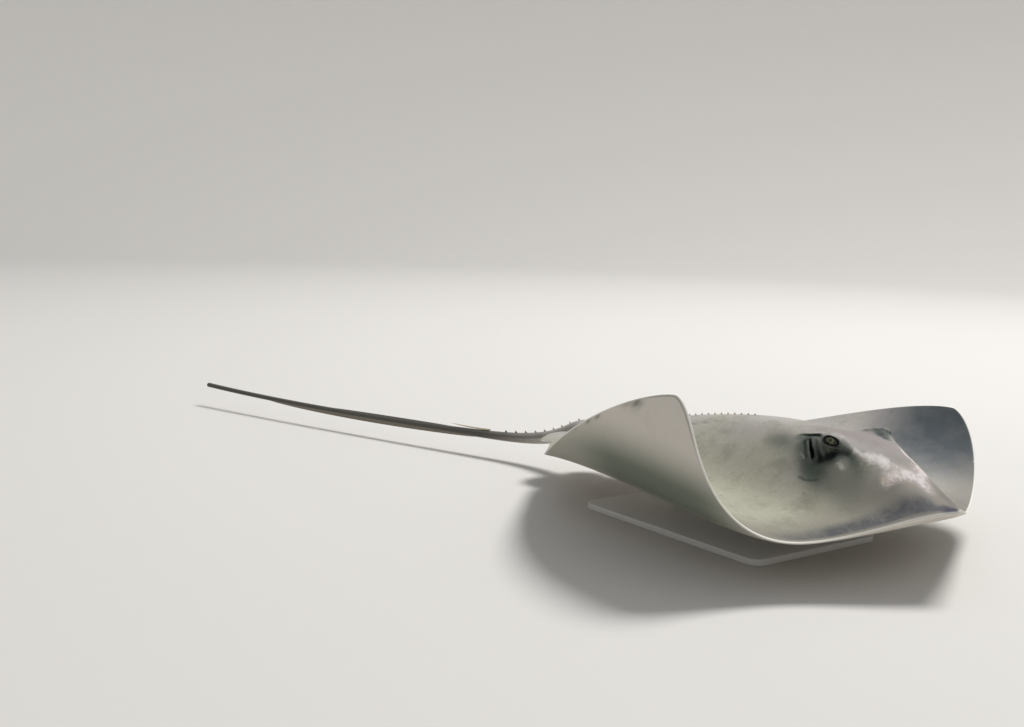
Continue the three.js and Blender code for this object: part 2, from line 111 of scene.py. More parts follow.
# %% Numbers and helpers for the heights
EDGE_HALF, RIM_ROUND = 1.8, 5.5
BACK_HEIGHT, SNOUT_RUN, SNOUT_POWER, BACK_SPREAD, BACK_FALL = 112.0, 89.0, 1.697, 99.0, 0.794
FIN_RISE, FIN_SAG, FIN_RUN = 26.0, 9.0, 75.0
BELLY_DEPTH, BELLY_RUN, BELLY_SPREAD = 28.0, 60.0, 170.0
BACK_TOP, FALL_RUN, SOFTEN_RUN = 300.0, 580.0, 300.0
TAPER_START, TAPER_RUN = 480.0, 397.0
REAR_RIM_ROUND, REAR_RIM_START, ROOT_START, ROOT_RUN = 22.0, 780.0, 790.0, 80.0
ROOT_TOP, ROOT_BELLY = 25.0, 17.0
EYE = {"back": 196.0, "out": 67.0, "up": 110.0}
BROW = {"back": 198.0, "out": 58.0, "length": 42.0, "breadth": 20.0, "rise": 24.0}
SPIRACLE_RIM = {"back": 250.0, "out": 70.0, "length": 34.0, "breadth": 24.0, "rise": 12.0}


def mound(back, out, shape):
    along = (back - shape["back"]) / shape["length"]
    across = (out - shape["out"]) / shape["breadth"]
    return shape["rise"] * np.exp(-along ** 2 - across ** 2)


def tapered(back, lost):
    return 1 - lost * smooth((back - TAPER_START) / TAPER_RUN)


def rounded(back, out):
    reach = RIM_ROUND + REAR_RIM_ROUND * smooth((back - REAR_RIM_START) / ROOT_RUN)
    near = 1 - np.clip(rim_distance(back, out) / reach, 0, 1)
    return np.sqrt(np.clip(1 - near ** 2, 0, 1))


def tail_root(back, out, half_height):
    round_off = np.sqrt(np.clip(1 - (out / TAIL_HALF) ** 2, 0, 1))
    return half_height * round_off * smooth((back - ROOT_START) / ROOT_RUN)


print("the fin's edge is", 2 * EDGE_HALF, "mm thick before it rounds off")

# %% [markdown]
# The top adds up the fin's lens, the raised back and the mounds. The underside is the same recipe
# with only the lens and a belly. Near the tail both follow the tail's own round section where that
# is the larger, so that the disc and the tail meet.

# %% Top and belly
def top_height(back, out):
    share = np.minimum(out / half_width(back), 1)
    fin = FIN_RISE * (1 - np.exp(-back / FIN_RUN)) * tapered(back, 0.7)
    rise = 1 - np.exp(-(back / SNOUT_RUN) ** SNOUT_POWER)
    fall = 1 - BACK_FALL * smooth((back - BACK_TOP) / FALL_RUN)
    ridge = np.maximum(BACK_HEIGHT * rise * fall - fin - EDGE_HALF, 0)
    spread = BACK_SPREAD * (0.5 + 0.5 * smooth(back / EYE["back"])) * tapered(back, 0.5)
    square = 3 - smooth((back - BACK_TOP) / SOFTEN_RUN)
    raised = ridge * np.exp(-(out / spread) ** square)
    raised = raised + mound(back, out, BROW) + mound(back, out, SPIRACLE_RIM)
    height = EDGE_HALF + fin * (1 - share ** 2) + raised * (1 - share ** 4)
    return np.maximum(height * rounded(back, out), tail_root(back, out, ROOT_TOP))


def belly_depth(back, out):
    share = np.minimum(out / half_width(back), 1)
    grow = 1 - np.exp(-back / BELLY_RUN)
    fin = FIN_SAG * grow * tapered(back, 0.7)
    belly = np.maximum(BELLY_DEPTH * grow * tapered(back, 0.4) - fin - EDGE_HALF, 0)
    lowered = belly * np.exp(-(out / (BELLY_SPREAD * tapered(back, 0.62))) ** 2)
    height = EDGE_HALF + fin * (1 - share ** 2) + lowered * (1 - share ** 4)
    return np.maximum(height * rounded(back, out), tail_root(back, out, ROOT_BELLY))


print("the back rises", round(float(top_height(np.float64(BACK_TOP), np.float64(0)))), "mm")

# %% [markdown]
# ## Bending the plan
# A swimming ray rows with its fins: each one curls upward from a line beside the trunk, and the
# snout and the rear edge bend down. The angle of the sheet grows outward from the start of the
# curl, so the place of a point is the sum of many short straight steps. Numpy adds them up for all
# the points at once. The right fin is caught high in its stroke and the left one lower.

# %% The swimming pose
RIGHT = {"curl": 2.019, "lean": 0.122, "fade": -2.069, "start": 150.0, "start_lean": 0.119,
         "power": 1.015, "droop": -0.235, "sweep": 122.0}
LEFT = {"curl": 1.158, "lean": -0.651, "fade": -1.137, "start": 159.0, "start_lean": 0.134,
        "power": 0.967, "droop": -0.185, "sweep": 66.0}
SNOUT_ARCH, REAR_ARCH = 1.946, 0.782
NOSE_DOWN, LEFT_DOWN = 0.042, -0.024
CORNER_OVER_BASE, BODY_HEIGHT = 85.0, 110.0
KNEE_SOFTNESS, DROOP_RUN = 0.02, 50.0
STEPS = (np.arange(48) + 0.5) / 48
tilt = np.array(Matrix.Rotation(NOSE_DOWN, 3, "Y") @ Matrix.Rotation(LEFT_DOWN, 3, "X"))
print("each bend is a sum of", len(STEPS), "steps")

# %% [markdown]
# The curl starts softly at its own line. A point above or below the sheet is moved along the
# sheet's own upright direction, so that the body keeps its thickness where the fin bends.

# %% From plan to pose
def past_start(out, start):
    def ramp(s):
        share = (s - start) / (HALF - start)
        return 0.5 * (share + np.sqrt(share * share + KNEE_SOFTNESS))
    return np.maximum(ramp(out) - ramp(0.0), 0)


def on_body(back, across, height):
    """Places on the plan, in millimetres, become places on the ray, in millimetres."""
    right = across < 0
    out = np.abs(across)
    fin = {key: np.where(right, RIGHT[key], LEFT[key]) for key in RIGHT}
    ahead = (SNOUT_TO_CORNER - back) / DISC_WIDTH
    curl = fin["curl"] * (1 + fin["lean"] * ahead + fin["fade"] * ahead ** 2)
    start = fin["start"] + fin["start_lean"] * ahead * DISC_WIDTH
    s = out[:, None] * STEPS
    angle = curl[:, None] * past_start(s, start[:, None]) ** fin["power"][:, None]
    angle = angle + fin["droop"][:, None] * (1 - np.exp(-(s / DROOP_RUN) ** 2))
    sideways, up = np.cos(angle).mean(1) * out, np.sin(angle).mean(1) * out
    arch = np.where(ahead > 0, SNOUT_ARCH, REAR_ARCH)
    slope = arch[:, None] * (ahead[:, None] * STEPS) ** 2
    run = ahead * DISC_WIDTH
    along, rise = np.cos(slope).mean(1) * run, np.sin(slope).mean(1) * run
    past = past_start(out, start)
    along = along + fin["sweep"] * past ** 1.5
    lean = curl * past ** fin["power"] + fin["droop"] * smooth((out - DROOP_RUN) / (2 * DROOP_RUN))
    sideways, up = sideways - np.sin(lean) * height, up + np.cos(lean) * height
    slope = arch * ahead ** 2
    return np.stack([along - up * np.sin(slope), np.where(right, -sideways, sideways),
                     rise + up * np.cos(slope)], axis=1)


def in_frame(places):
    """The ray's own millimetres become the frame's metres."""
    return (places @ tilt.T + [CORNER_OVER_BASE, 0, BODY_HEIGHT]) * MM


def point_on_body(back, across, height):
    return on_body(np.array([back]), np.array([across]), np.array([height]))[0]


def point_in_frame(spot):
    return in_frame(np.array([spot]))[0]


print("snout tip at", point_in_frame(point_on_body(0.0, 0.0, 0.0)).round(3), "m")

# %% [markdown]
# ## Folds, slits, pigment and painted shade
# The features of the head are lines and patches drawn on the plan. Each line is a short chain of
# points; how near a place lies to the chain says how deep the skin is folded there and how dark it
# is. The darkening of a fold, slit or opening is painted shade, so drawing a fold and its shade with
# one line keeps them together. The spiracle, the breathing hole behind each eye, is simply the
# deepest line.

# %% Lines on the plan
SPIRACLE = [(250, 64), (244, 69), (237, 74), (230, 77), (223, 80.5)]
TOP_LINES = [
    # chain, breadth, how far it stands out, how dark it is
    (SPIRACLE, 1.5, -12.0, 1.2),
    ([(231, 76), (223, 80)], 2.4, -3.0, 0.8),
    ([(262, 63), (251, 72), (240, 80), (231, 86)], 2.4, -1.0, 0.3),
    ([(255, 68), (244, 77), (233, 84)], 2.4, 0.3, -0.03),
    ([(240, 63), (224, 72), (206, 79)], 2.0, -0.8, 0.25),
    ([(233, 62), (216, 71), (200, 78)], 1.8, 0.45, -0.1),
    ([(226, 61), (209, 71), (195, 76)], 1.8, -0.6, 0.25),
    ([(215, 80), (202, 79), (190, 75), (178, 69.5), (166, 65.5), (155, 62)], 4.0, -2.8, 0.55),
    ([(232, 100), (216, 101), (203, 99.5), (192, 96)], 1.2, -0.5, 0.25),
    ([(560, 53), (515, 48), (490, 44), (466, 38)], 2.6, -1.2, 0.4),
]
LEDGE = [(292, 51), (275, 47), (255, 48), (238, 53), (224, 59)]


def gill_slit(number):
    back, out = 254 + 30 * number, 81 - 7 * number
    return [(back, out), (back - 4, out - 8), (back - 4, out - 18), (back, out - 26)]


UNDER_LINES = [(gill_slit(number), 2.2, -3.0, 0.55) for number in range(5)]
# the mouth, the curtain of the nostrils, the nostrils and the vent
UNDER_LINES += [
    ([(172, 0), (170, 22), (163, 42)], 3.2, -6.0, 0.8),
    ([(158, 0), (157, 20), (150, 36), (138, 44)], 4.0, 2.5, 0.1),
    ([(146, 26), (140, 36), (136, 44)], 3.0, -4.0, 0.6),
    ([(795, 0), (812, 0)], 3.0, -4.0, 0.45),
]
print("lines:", len(TOP_LINES), "on the top and", len(UNDER_LINES), "on the underside")

# %% [markdown]
# A line fades with the distance from its chain, and toward its ends as well, so that a fold closes
# instead of stopping. Only an end on the midline doesn't fade, because it meets its mirror image
# there. A patch is the same bell shape round a single point.

# %% Distance from a line
def chain_distance(back, out, chain):
    """How far each place is from a chain of points, and on which side of it: + is outside."""
    nearest, side = np.full(back.shape, 1e6), np.ones(back.shape)
    for (x0, y0), (x1, y1) in zip(chain, chain[1:]):
        dx, dy = x1 - x0, y1 - y0
        share = np.clip(((back - x0) * dx + (out - y0) * dy) / (dx * dx + dy * dy), 0, 1)
        distance = np.hypot(back - x0 - share * dx, out - y0 - share * dy)
        turn = dx * (out - y0) - dy * (back - x0)
        side = np.where(distance < nearest, np.where(turn * dx > 0, 1.0, -1.0), side)
        nearest = np.minimum(nearest, distance)
    return nearest, side


# The darkness a line lays down is painted shade where the line is a crease, slit or opening.
def drawn(back, out, lines):
    relief, ink_and_shade = np.zeros_like(back), np.zeros_like(back)
    for chain, breadth, height, dark in lines:
        near = np.exp(-(chain_distance(back, out, chain)[0] / breadth) ** 2)
        for end in (point for point in (chain[0], chain[-1]) if point[1] > 0):
            near = near * smooth(np.hypot(back - end[0], out - end[1]) / (3 * breadth) + 0.2)
        relief = relief + height * near
        ink_and_shade = ink_and_shade + dark * near
    return relief, ink_and_shade


def patches(back, out, spots):
    """Soft spots added up: each has a place, its reach both ways and a strength."""
    total = np.zeros_like(back)
    for centre_back, centre_out, reach_back, reach_out, strength in spots:
        total = total + strength * np.exp(-((back - centre_back) / reach_back) ** 2
                                          - ((out - centre_out) / reach_out) ** 2)
    return total


middle_of_spiracle = [np.array([float(value)]) for value in SPIRACLE[2]]
print("the spiracle is", -drawn(*middle_of_spiracle, TOP_LINES)[0].round(1)[0], "mm deep")

# %% [markdown]
# Behind the eye the brow ends in a ledge that hangs over the spiracle. The skin under the ledge is
# set back, most of all right below it, and comes out again further down the flank. Right below the
# ledge a band of painted shade darkens the skin.

# %% The ledge behind the brow
OVERHANG = {"front": 220.0, "front_run": 16.0, "rear": 292.0, "rear_run": 32.0, "depth": 4.2,
            "lip": 2.2, "flank": 24.0, "shade": 0.85, "shade_at": 2.4, "shade_reach": 3.0}


def ledge(back, out):
    distance, side = chain_distance(back, out, LEDGE)
    below = np.where(side > 0, distance, 0.0)
    ends = smooth((back - OVERHANG["front"]) / OVERHANG["front_run"])
    ends = ends * smooth((OVERHANG["rear"] - back) / OVERHANG["rear_run"])
    step = (1 - np.exp(-(below / OVERHANG["lip"]) ** 2)) * np.exp(-(below / OVERHANG["flank"]) ** 1.5)
    # Painted shade: a dark band just below the ledge.
    shade = np.exp(-((below - OVERHANG["shade_at"]) / OVERHANG["shade_reach"]) ** 2) * (side > 0)
    return -OVERHANG["depth"] * step * ends, OVERHANG["shade"] * shade * ends


print("the ledge hangs over by", -ledge(np.array([235.0]), np.array([66.0]))[0].round(1)[0], "mm")

# %% [markdown]
# Soft spots do the rest. A few shape the skin: hollows round the spiracle and low rises ahead of
# the eye, higher on the left. The dark ones lie round the eyes and the spiracles and, as blotches,
# under the fins. Round the eyes and spiracles they are dark skin together with painted shade in the
# pockets and under the bulges, and the extra ones by the left eye alone are partly painted shade on
# that eye's inner slope. Pale marks run along the brow, and a pink patch crosses the forehead.

# %% Hollows, dark spots and pale marks
# each spot: back, out, reach along and across, and how high or how dark it is
HOLLOWS = [(236, 76, 22, 9, -1.4), (232, 92, 26, 12, -1.2), (174, 68, 16, 9, 1.8),
           (176, 86, 16, 9, 1.2)]
LEFT_RISE = [(158, 46, 26, 12, 3.6), (176, 60, 13, 9, 3.4)]
# Dark skin round the eyes and spiracles, with painted shade in the spiracle pocket, under the ledge and
# under the eye's bulge.
DARK_AND_SHADE = [(238, 73, 24, 14, 0.6), (216, 88, 24, 12, 0.47), (268, 74, 24, 14, 0.14),
        (300, 64, 38, 18, 0.38), (326, 63, 26, 16, 0.14), (189, 74.5, 9, 5, 0.32),
        (135, 64, 16, 14, 0.14), (196, 94, 44, 22, 0.34), (449, 26, 7, 4, 0.35),
        (152, 63, 11, 6, 0.35), (212, 70, 14, 12, 0.3), (251, 56, 13, 6, 0.42),
        (256, 63, 11, 9, 0.48), (272, 56, 12, 6, 0.4), (172, 62, 12, 7, 0.34),
        (188, 69, 12, 4, 0.22), (186, 74, 18, 8, 0.2), (138, 84, 42, 34, 0.34),
        (80, 62, 34, 26, 0.2)]
# By the left eye only: partly painted shade on the inner slope of the eye's bulge.
LEFT_DARK_AND_SHADE = [(198, 50, 9, 9, 0.7), (187, 50, 10, 10, 0.65), (176, 45, 9, 8, 0.65),
             (167, 38, 8, 5, 0.7), (182, 39, 8, 5, 0.45), (192, 58, 12, 5, 0.4),
             (213, 41, 8, 5, 0.45)]
BLOTCHES = [(546, 413, 7, 5, 0.5), (526, 427, 9, 6, 0.5), (476, 461, 14, 8, 0.3),
            (452, 468, 11, 9, 0.55), (575, 392, 6, 5, 0.3)]
PALE_SPOTS = [(165, 75.5, 12, 5.5, 0.8), (273, 413, 4, 5, 1.0), (136, 47, 13, 10, 0.85),
              (112, 35, 20, 14, 1.05)]
FOREHEAD = [(58, 0), (70, 6), (84, 28), (95, 50)]
PALE_LINES = [
    # chain, breadth, how pale it is
    ([(156, 53), (141, 49), (128, 43), (113, 35), (100, 27)], 8.0, 0.75),
    ([(226, 57), (205, 59), (189, 55), (177, 54), (165, 53), (150, 50)], 4.5, 0.45),
    ([(199, 71), (187, 71.5), (176, 68.5)], 2.2, 0.25),
    ([(252, 78), (244, 82), (233, 83.5)], 2.4, 0.5),
]


def pale_marks(back, out):
    pale = patches(back, out, PALE_SPOTS)
    for chain, breadth, strength in PALE_LINES:
        near = np.exp(-(chain_distance(back, out, chain)[0] / breadth) ** 2)
        pale = np.maximum(pale, strength * near)
    return pale


def rose_marks(back, out):
    """The pink patch of the forehead, wide at the midline and narrower toward its ends."""
    distance = chain_distance(back, out, FOREHEAD)[0]
    return np.exp(-(distance / (15 - 5 * smooth(out / 55))) ** 2)


print("dark spots:", len(DARK_AND_SHADE), "on both sides and", len(LEFT_DARK_AND_SHADE), "more on the left")

# %% [markdown]
# ## The skin's mesh
# The top and the underside are two bmesh grids. Their rows lie closer together over the head and
# their columns closer near the midline and the rim, where the shape changes fastest. The grids
# share their rim, so merging doubles closes the body.

# %% Two grids that share their rim
ROW_COUNTS = [8, 22, 40, 10, 26, 42, 14]
ROW_ENDS = [0, 20, 130, 300, 360, 424, 845, 877]
TOP_COUNTS, UNDER_COUNTS = [28, 28, 4, 3, 3], [12, 16, 4, 3, 3]
COLUMN_ENDS = [0, 0.36, 0.962, 0.985, 0.995, 1]


def spaced(index, counts, ends):
    return np.interp(index, np.cumsum([0] + counts), ends)


def plan_grid(bm, counts, level):
    rows, columns = sum(ROW_COUNTS), sum(counts)
    made = bmesh.ops.create_grid(bm, x_segments=rows, y_segments=2 * columns, size=1)["verts"]
    for v in made:
        back = float(spaced((v.co.x + 1) / 2 * rows, ROW_COUNTS, ROW_ENDS))
        step = v.co.y * columns
        share = float(spaced(abs(step), counts, COLUMN_ENDS))
        across = math.copysign(share, step) * float(half_width(np.float64(back)))
        at_rim = share > 0.99999 or back == 0
        v.co = (back, across, 0 if at_rim else level)
    return made


skin_bm = bmesh.new()
plan_grid(skin_bm, TOP_COUNTS, 1)
under = plan_grid(skin_bm, UNDER_COUNTS, -1)
bmesh.ops.reverse_faces(skin_bm, faces=list({f for v in under for f in v.link_faces}))
bmesh.ops.remove_doubles(skin_bm, verts=skin_bm.verts, dist=0.0005)
print("even plan:", len(skin_bm.verts), "points")

# %% [markdown]
# The head, the eyes and the mouth need small faces. Subdividing the edges that lie wholly inside a
# rectangle of the plan, and again in smaller rectangles, puts them there and nowhere else. This is
# easy while everything is still flat.

# %% A finer mesh for the head
FINER = [
    # from and to along the body, from and to beside the midline, top (1) or underside (-1)
    ((20, 302), (0, 122), 1),
    ((140, 300), (30, 106), 1),
    ((172, 258), (52, 86), 1),
    ((182, 206), (60, 69.5), 1),
    ((187.5, 202.5), (63.4, 67.6), 1),
    ((128, 420), (0, 95), -1),
]


def within(edge, back, out):
    return all(back[0] <= v.co.x <= back[1] and out[0] <= abs(v.co.y) <= out[1]
               for v in edge.verts)


def refine(bm, back, out, level):
    chosen = [e for e in bm.edges if within(e, back, out) and all(v.co.z == level for v in e.verts)]
    bmesh.ops.subdivide_edges(bm, edges=chosen, cuts=1, use_grid_fill=True)


for along_body, beside_midline, side_of_rim in FINER:
    refine(skin_bm, along_body, beside_midline, side_of_rim)
print("finer plan:", len(skin_bm.verts), "points,", len(skin_bm.faces), "faces")

# %% [markdown]
# ## From plan to body
# Every point of the plan gets its height and its folds, and is bent into the pose. The folds push
# the skin along its own normal, which is worked out from two nearby points. The plan's own places
# are kept with the mesh as attributes, because the markings are drawn on them later: `plan` holds
# where a point lies, `rim` how far it is from the fin's edge, and a dark one, `pale` and `rose` how
# much of each mark the lines and patches put there. The dark one holds the skin's dark marks together
# with painted shade in creases, slits and hollows.

# %% Heights, folds and the bend
bmesh.ops.triangulate(skin_bm, faces=[f for f in skin_bm.faces if len(f.verts) > 4])
plan_layer = skin_bm.verts.layers.float_vector.new("plan")
rim_layer = skin_bm.verts.layers.float.new("rim")
tone_layers = [skin_bm.verts.layers.float.new(name) for name in ("ink_and_shade", "pale", "rose")]
pale_layer = tone_layers[1]
NUDGE = 0.5


def disc_points(back, across, level):
    out = np.abs(across)
    top_relief, top_ink_and_shade = drawn(back, out, TOP_LINES)
    under_relief, under_ink_and_shade = drawn(back, out, UNDER_LINES)
    set_back, shade = ledge(back, out)
    top_relief = top_relief + set_back + patches(back, out, HOLLOWS) + patches(back, across, LEFT_RISE)
    top_ink_and_shade = top_ink_and_shade + shade + patches(back, out, DARK_AND_SHADE) + patches(back, across, LEFT_DARK_AND_SHADE)
    under_ink_and_shade = under_ink_and_shade + patches(back, out, BLOTCHES)
    relief = np.where(level > 0, top_relief, under_relief)

    def surface(at_back, at_across):
        at_out = np.abs(at_across)
        height = np.where(level > 0, top_height(at_back, at_out), -belly_depth(at_back, at_out))
        return on_body(at_back, at_across, np.where(level == 0, 0.0, height))

    here = surface(back, across)
    inward = np.where(across < 0, 1.0, -1.0)
    along = surface(back + NUDGE, across) - here
    aside = (surface(back, across + inward * NUDGE) - here) * inward[:, None]
    normal = np.cross(along, aside) * np.where(level < 0, 1.0, -1.0)[:, None]
    normal /= np.maximum(np.linalg.norm(normal, axis=1), 1e-9)[:, None]
    return here + normal * relief[:, None], np.where(level > 0, top_ink_and_shade, under_ink_and_shade)


flat = np.array([v.co for v in skin_bm.verts])
back, across, level = flat[:, 0], flat[:, 1], np.sign(flat[:, 2])
body, ink_and_shade = disc_points(back, across, level)
rim = rim_distance(back, np.abs(across))
pale = np.where(level > 0, pale_marks(back, np.abs(across)), 0)
rose = np.where(level > 0, rose_marks(back, np.abs(across)), 0)
print("disc spans", (body.max(0) - body.min(0)).round(0), "mm")

# %% [markdown]
# ## Eyelids
# A ray's eye is a ball set high in the side of the brow, with thick lids that hug it. To wrap the
# skin round the ball, each nearby point is pushed away from a spot behind the ball until it
# reaches the lid's radius. Inside an oval opening it is pulled back behind the eyeball instead,
# and that gives the lid its edge. Low rolls round the opening make the folds of the lids.

# %% Numbers and axes of the eyes
BALL, LID, BEHIND_LID = 12.9, 14.1, 9.8
LID_REACH, PIVOT_DEPTH, LID_BLEND, OVAL_POWER = 40.0, 9.0, 4.0, 2.5
GAZE = (0.44, 0.82, 0.36)
OPENING = {"length": 0.92, "over": 0.42, "under": 0.47, "slant": 0.16}
FOLDS = [
    # how many openings out, breadth, how far it stands out, whether it runs all round
    (1.3, 0.13, 0.6, True),
    (1.62, 0.1, -0.8, False),
    (1.9, 0.12, 0.45, False),
    (2.2, 0.12, -0.6, False),
]


def eye_axes(side):
    look = Vector((GAZE[0], side * GAZE[1], GAZE[2])).normalized()
    up = (Vector((0, 0, 1)) - look * look.z).normalized()
    fore = up.cross(look) * (1 if side > 0 else -1)
    turn = Matrix.Rotation(OPENING["slant"] * side, 3, look)
    return np.array(look), np.array(turn @ fore), np.array(turn @ up)


def smooth_maximum(first, second, reach):
    near = np.maximum(reach - np.abs(first - second), 0) / reach
    return np.maximum(first, second) + near * near * reach / 4


print("the left eye looks along", eye_axes(1)[0].round(2))

# %% [markdown]
# All the points near one eye are moved at once, each along its own ray from the spot behind the
# ball. `oval` tells how far out a point lies, with 1 at the edge of the opening.

# %% Wrap the skin round each eye
def wrap_eye(side):
    centre = point_on_body(EYE["back"], side * EYE["out"], EYE["up"])
    look, fore, up = eye_axes(side)
    close = np.linalg.norm(body - centre, axis=1) < LID_REACH
    near = np.where((level > 0) & close & (across * side > 0))[0]
    pivot = centre - look * PIVOT_DEPTH
    ray = body[near] - pivot
    length = np.linalg.norm(ray, axis=1)
    ray /= length[:, None]
    middle = (centre - pivot) @ ray.T
    miss = (centre - pivot) @ (centre - pivot) - middle ** 2
    on_lid = middle + np.sqrt(np.maximum(LID ** 2 - miss, 0))
    behind = middle + np.sqrt(np.maximum(BEHIND_LID ** 2 - miss, 0))
    spot = (pivot + ray * on_lid[:, None] - centre) / LID
    ahead, above, facing = spot @ fore, spot @ up, spot @ look
    angle = np.arccos(np.clip(facing, -1, 1)) / np.maximum(np.hypot(ahead, above), 1e-6)
    half = np.where(above > 0, OPENING["over"], OPENING["under"])
    oval = np.abs(ahead * angle / OPENING["length"]) ** OVAL_POWER
    oval = (oval + np.abs(above * angle / half) ** OVAL_POWER) ** (1 / OVAL_POWER)
    low_rear = smooth(0.5 - 0.45 * ahead - 0.9 * above)
    roll = sum(height * np.exp(-((oval - at) / breadth) ** 2) * (1 if all_round else low_rear)
               for at, breadth, height, all_round in FOLDS)
    hug = np.exp(-(np.maximum(length - on_lid, 0) / LID_BLEND) ** 2)
    on_front = smooth((facing + 0.2) / 0.4)
    wrapped = smooth_maximum(length, on_lid, LID_BLEND) + roll * hug * on_front
    shut = smooth((oval - 0.94) / 0.13)
    body[near] = pivot + ray * (behind + (wrapped - behind) * shut)[:, None]
    # Painted shade together with the lid's dark skin: the rim of the opening goes almost black round the
    # sunken ball, and the creases low and to the rear of the lids are darkened.
    ink_and_shade[near] += 1.2 * (1 - smooth((oval - 1.1) / 0.42)) * hug
    for at, breadth, height, all_round in FOLDS:
        ink_and_shade[near] += 0.45 * np.exp(-((oval - at) / breadth) ** 2) * low_rear * hug * (height < 0)
    return centre, look, fore, up


eyes = {side: wrap_eye(side) for side in (1, -1)}
print("eyes at", [point_in_frame(eye[0]).round(3).tolist() for eye in eyes.values()], "m")

# %% [markdown]
# The finished places go back into the same bmesh, together with the attributes. The snout's tip is
# kept a hair inside the solid's box.

# %% Write the places back
HAIR = 0.0001
metres = in_frame(body)
metres[:, 0] = np.minimum(metres[:, 0], cad_box[1][0] - HAIR)
marks = zip(ink_and_shade, pale, rose)
for v, spot, on_plan, side_of_rim, to_rim, tones in zip(
        skin_bm.verts, metres, flat * MM, level, rim * MM, marks):
    v.co = spot
    v[plan_layer] = (on_plan[0], on_plan[1], side_of_rim)
    v[rim_layer] = to_rim
    for layer, value in zip(tone_layers, tones):
        v[layer] = value
print("the disc lies from", metres.min(0).round(3), "to", metres.max(0).round(3), "m")

# %% [markdown]
# ## The tail
# The tail is a whip that starts as wide as a wrist. It dips behind the body, levels out and swings
# to the right. Its course is a sum of short steps whose heading changes with distance.

# %% The tail's course
TAIL = {"length": 1187.0, "root_height": 4.0, "width": 54.0, "height": 43.0, "end_width": 12.0,
        "end_height": 11.0, "taper": 0.16, "swing": 0.376, "swing_run": 0.12, "unwind": -0.099,
        "dip": 0.45, "dip_run": 0.13, "root_slope": 0.119, "root_run": 0.03, "level": -0.065,
        "lift": 0.051}
TAIL_RINGS = 150


def tail_heading(share):
    turn = TAIL["swing"] * (1 - math.exp(-(share / TAIL["swing_run"]) ** 2)) + TAIL["unwind"] * share ** 2
    ease = 1 - math.exp(-(share / TAIL["root_run"]) ** 2)
    dip = TAIL["root_slope"] * (1 - ease) + TAIL["dip"] * ease
    slope = TAIL["level"] + TAIL["lift"] * share ** 2 - dip * math.exp(-(share / TAIL["dip_run"]) ** 2)
    return Vector((-math.cos(turn) * math.cos(slope), -math.sin(turn) * math.cos(slope), math.sin(slope)))


def tail_course(steps):
    point = Vector(point_on_body(DISC_LENGTH, 0.0, TAIL["root_height"]))
    course = [point.copy()]
    for step in range(steps):
        point = point + tail_heading((step + 0.5) / steps) * (TAIL["length"] / steps)
        course.append(point.copy())
    return course


course = tail_course(TAIL_RINGS * 4)
print("the tail ends at", course[-1].to_tuple(0), "mm")

# %% [markdown]
# Across its course the tail is an oval that thins fast at first and then slowly. Part of the way
# along, it is drawn down below into a thin skin fold, and up above into a low keel.

# %% The tail's section
FOLD = {"start": 0.27, "end": 0.8, "depth": 10.0}
KEEL = {"start": 0.33, "end": 0.62, "depth": 3.5}
WAIST, RIDGE = 0.55, 0.2


def swell(share, shape):
    run = (share - shape["start"]) / (shape["end"] - shape["start"])
    return math.sin(run * math.pi) ** 0.6 if 0 < run < 1 else 0.0


def tail_frame(share):
    reached = share * (len(course) - 1)
    before = min(int(reached), len(course) - 2)
    point = course[before].lerp(course[before + 1], reached - before)
    heading = tail_heading(share)
    left = heading.cross(Vector((0, 0, 1))).normalized()
    up = left.cross(heading).normalized()
    thin = math.exp(-share / TAIL["taper"])
    wide = (TAIL["end_width"] + (TAIL["width"] - TAIL["end_width"]) * thin) / 2
    high = (TAIL["end_height"] + (TAIL["height"] - TAIL["end_height"]) * thin) / 2
    return point, heading, left, up, wide, high


def tail_point(share, angle, shrink=1.0):
    point, heading, left, up, wide, high = tail_frame(share)
    across, height = math.cos(angle) * wide, math.sin(angle) * high
    narrow = math.exp(-(math.cos(angle) / RIDGE) ** 2)
    below, above = swell(share, FOLD), swell(share, KEEL)
    if height < 0 and below > 0:
        height -= FOLD["depth"] * below * narrow
        across *= 1 - WAIST * below * narrow
    if height > 0 and above > 0:
        height += KEEL["depth"] * above * narrow
    return point + (left * across + up * height) * shrink


print("half the tail's width:", [round(tail_frame(share)[4], 1) for share in (0.0, 0.5, 1.0)], "mm")

# %% [markdown]
# A circle is laid at the root. Each ring is extruded from the one before it and then drawn in its
# own place. Two smaller rings and a flat cap close the tip, and the open front is bridged to the
# disc.

# %% The tail's rings
TAIL_SIDES, TAIL_START, FAR_FROM_RIM = 28, 0.012, 0.1


def mark(v, back, across, side_of_rim, to_rim=FAR_FROM_RIM):
    v[plan_layer] = (back * MM, across * MM, side_of_rim)
    v[rim_layer] = to_rim


def draw_ring(verts, share, shrink=1.0):
    for n, v in enumerate(verts):
        angle = (n + 0.5) * 2 * math.pi / len(verts)
        v.co = point_in_frame(tail_point(share, angle, shrink))
        back_at = DISC_LENGTH + share * TAIL["length"]
        mark(v, back_at, math.cos(angle) * TAIL_HALF, math.sin(angle))


def grow_ring(bm, order, edges):
    """Extrude an open ring once: its new points, in the same order, and its new edges."""
    made = bmesh.ops.extrude_edge_only(bm, edges=edges)["geom"]
    fresh = {v for v in made if isinstance(v, bmesh.types.BMVert)}
    grown = [next(e.other_vert(v) for e in v.link_edges if e.other_vert(v) in fresh) for v in order]
    return grown, [e for e in made
                   if isinstance(e, bmesh.types.BMEdge) and all(v in fresh for v in e.verts)]


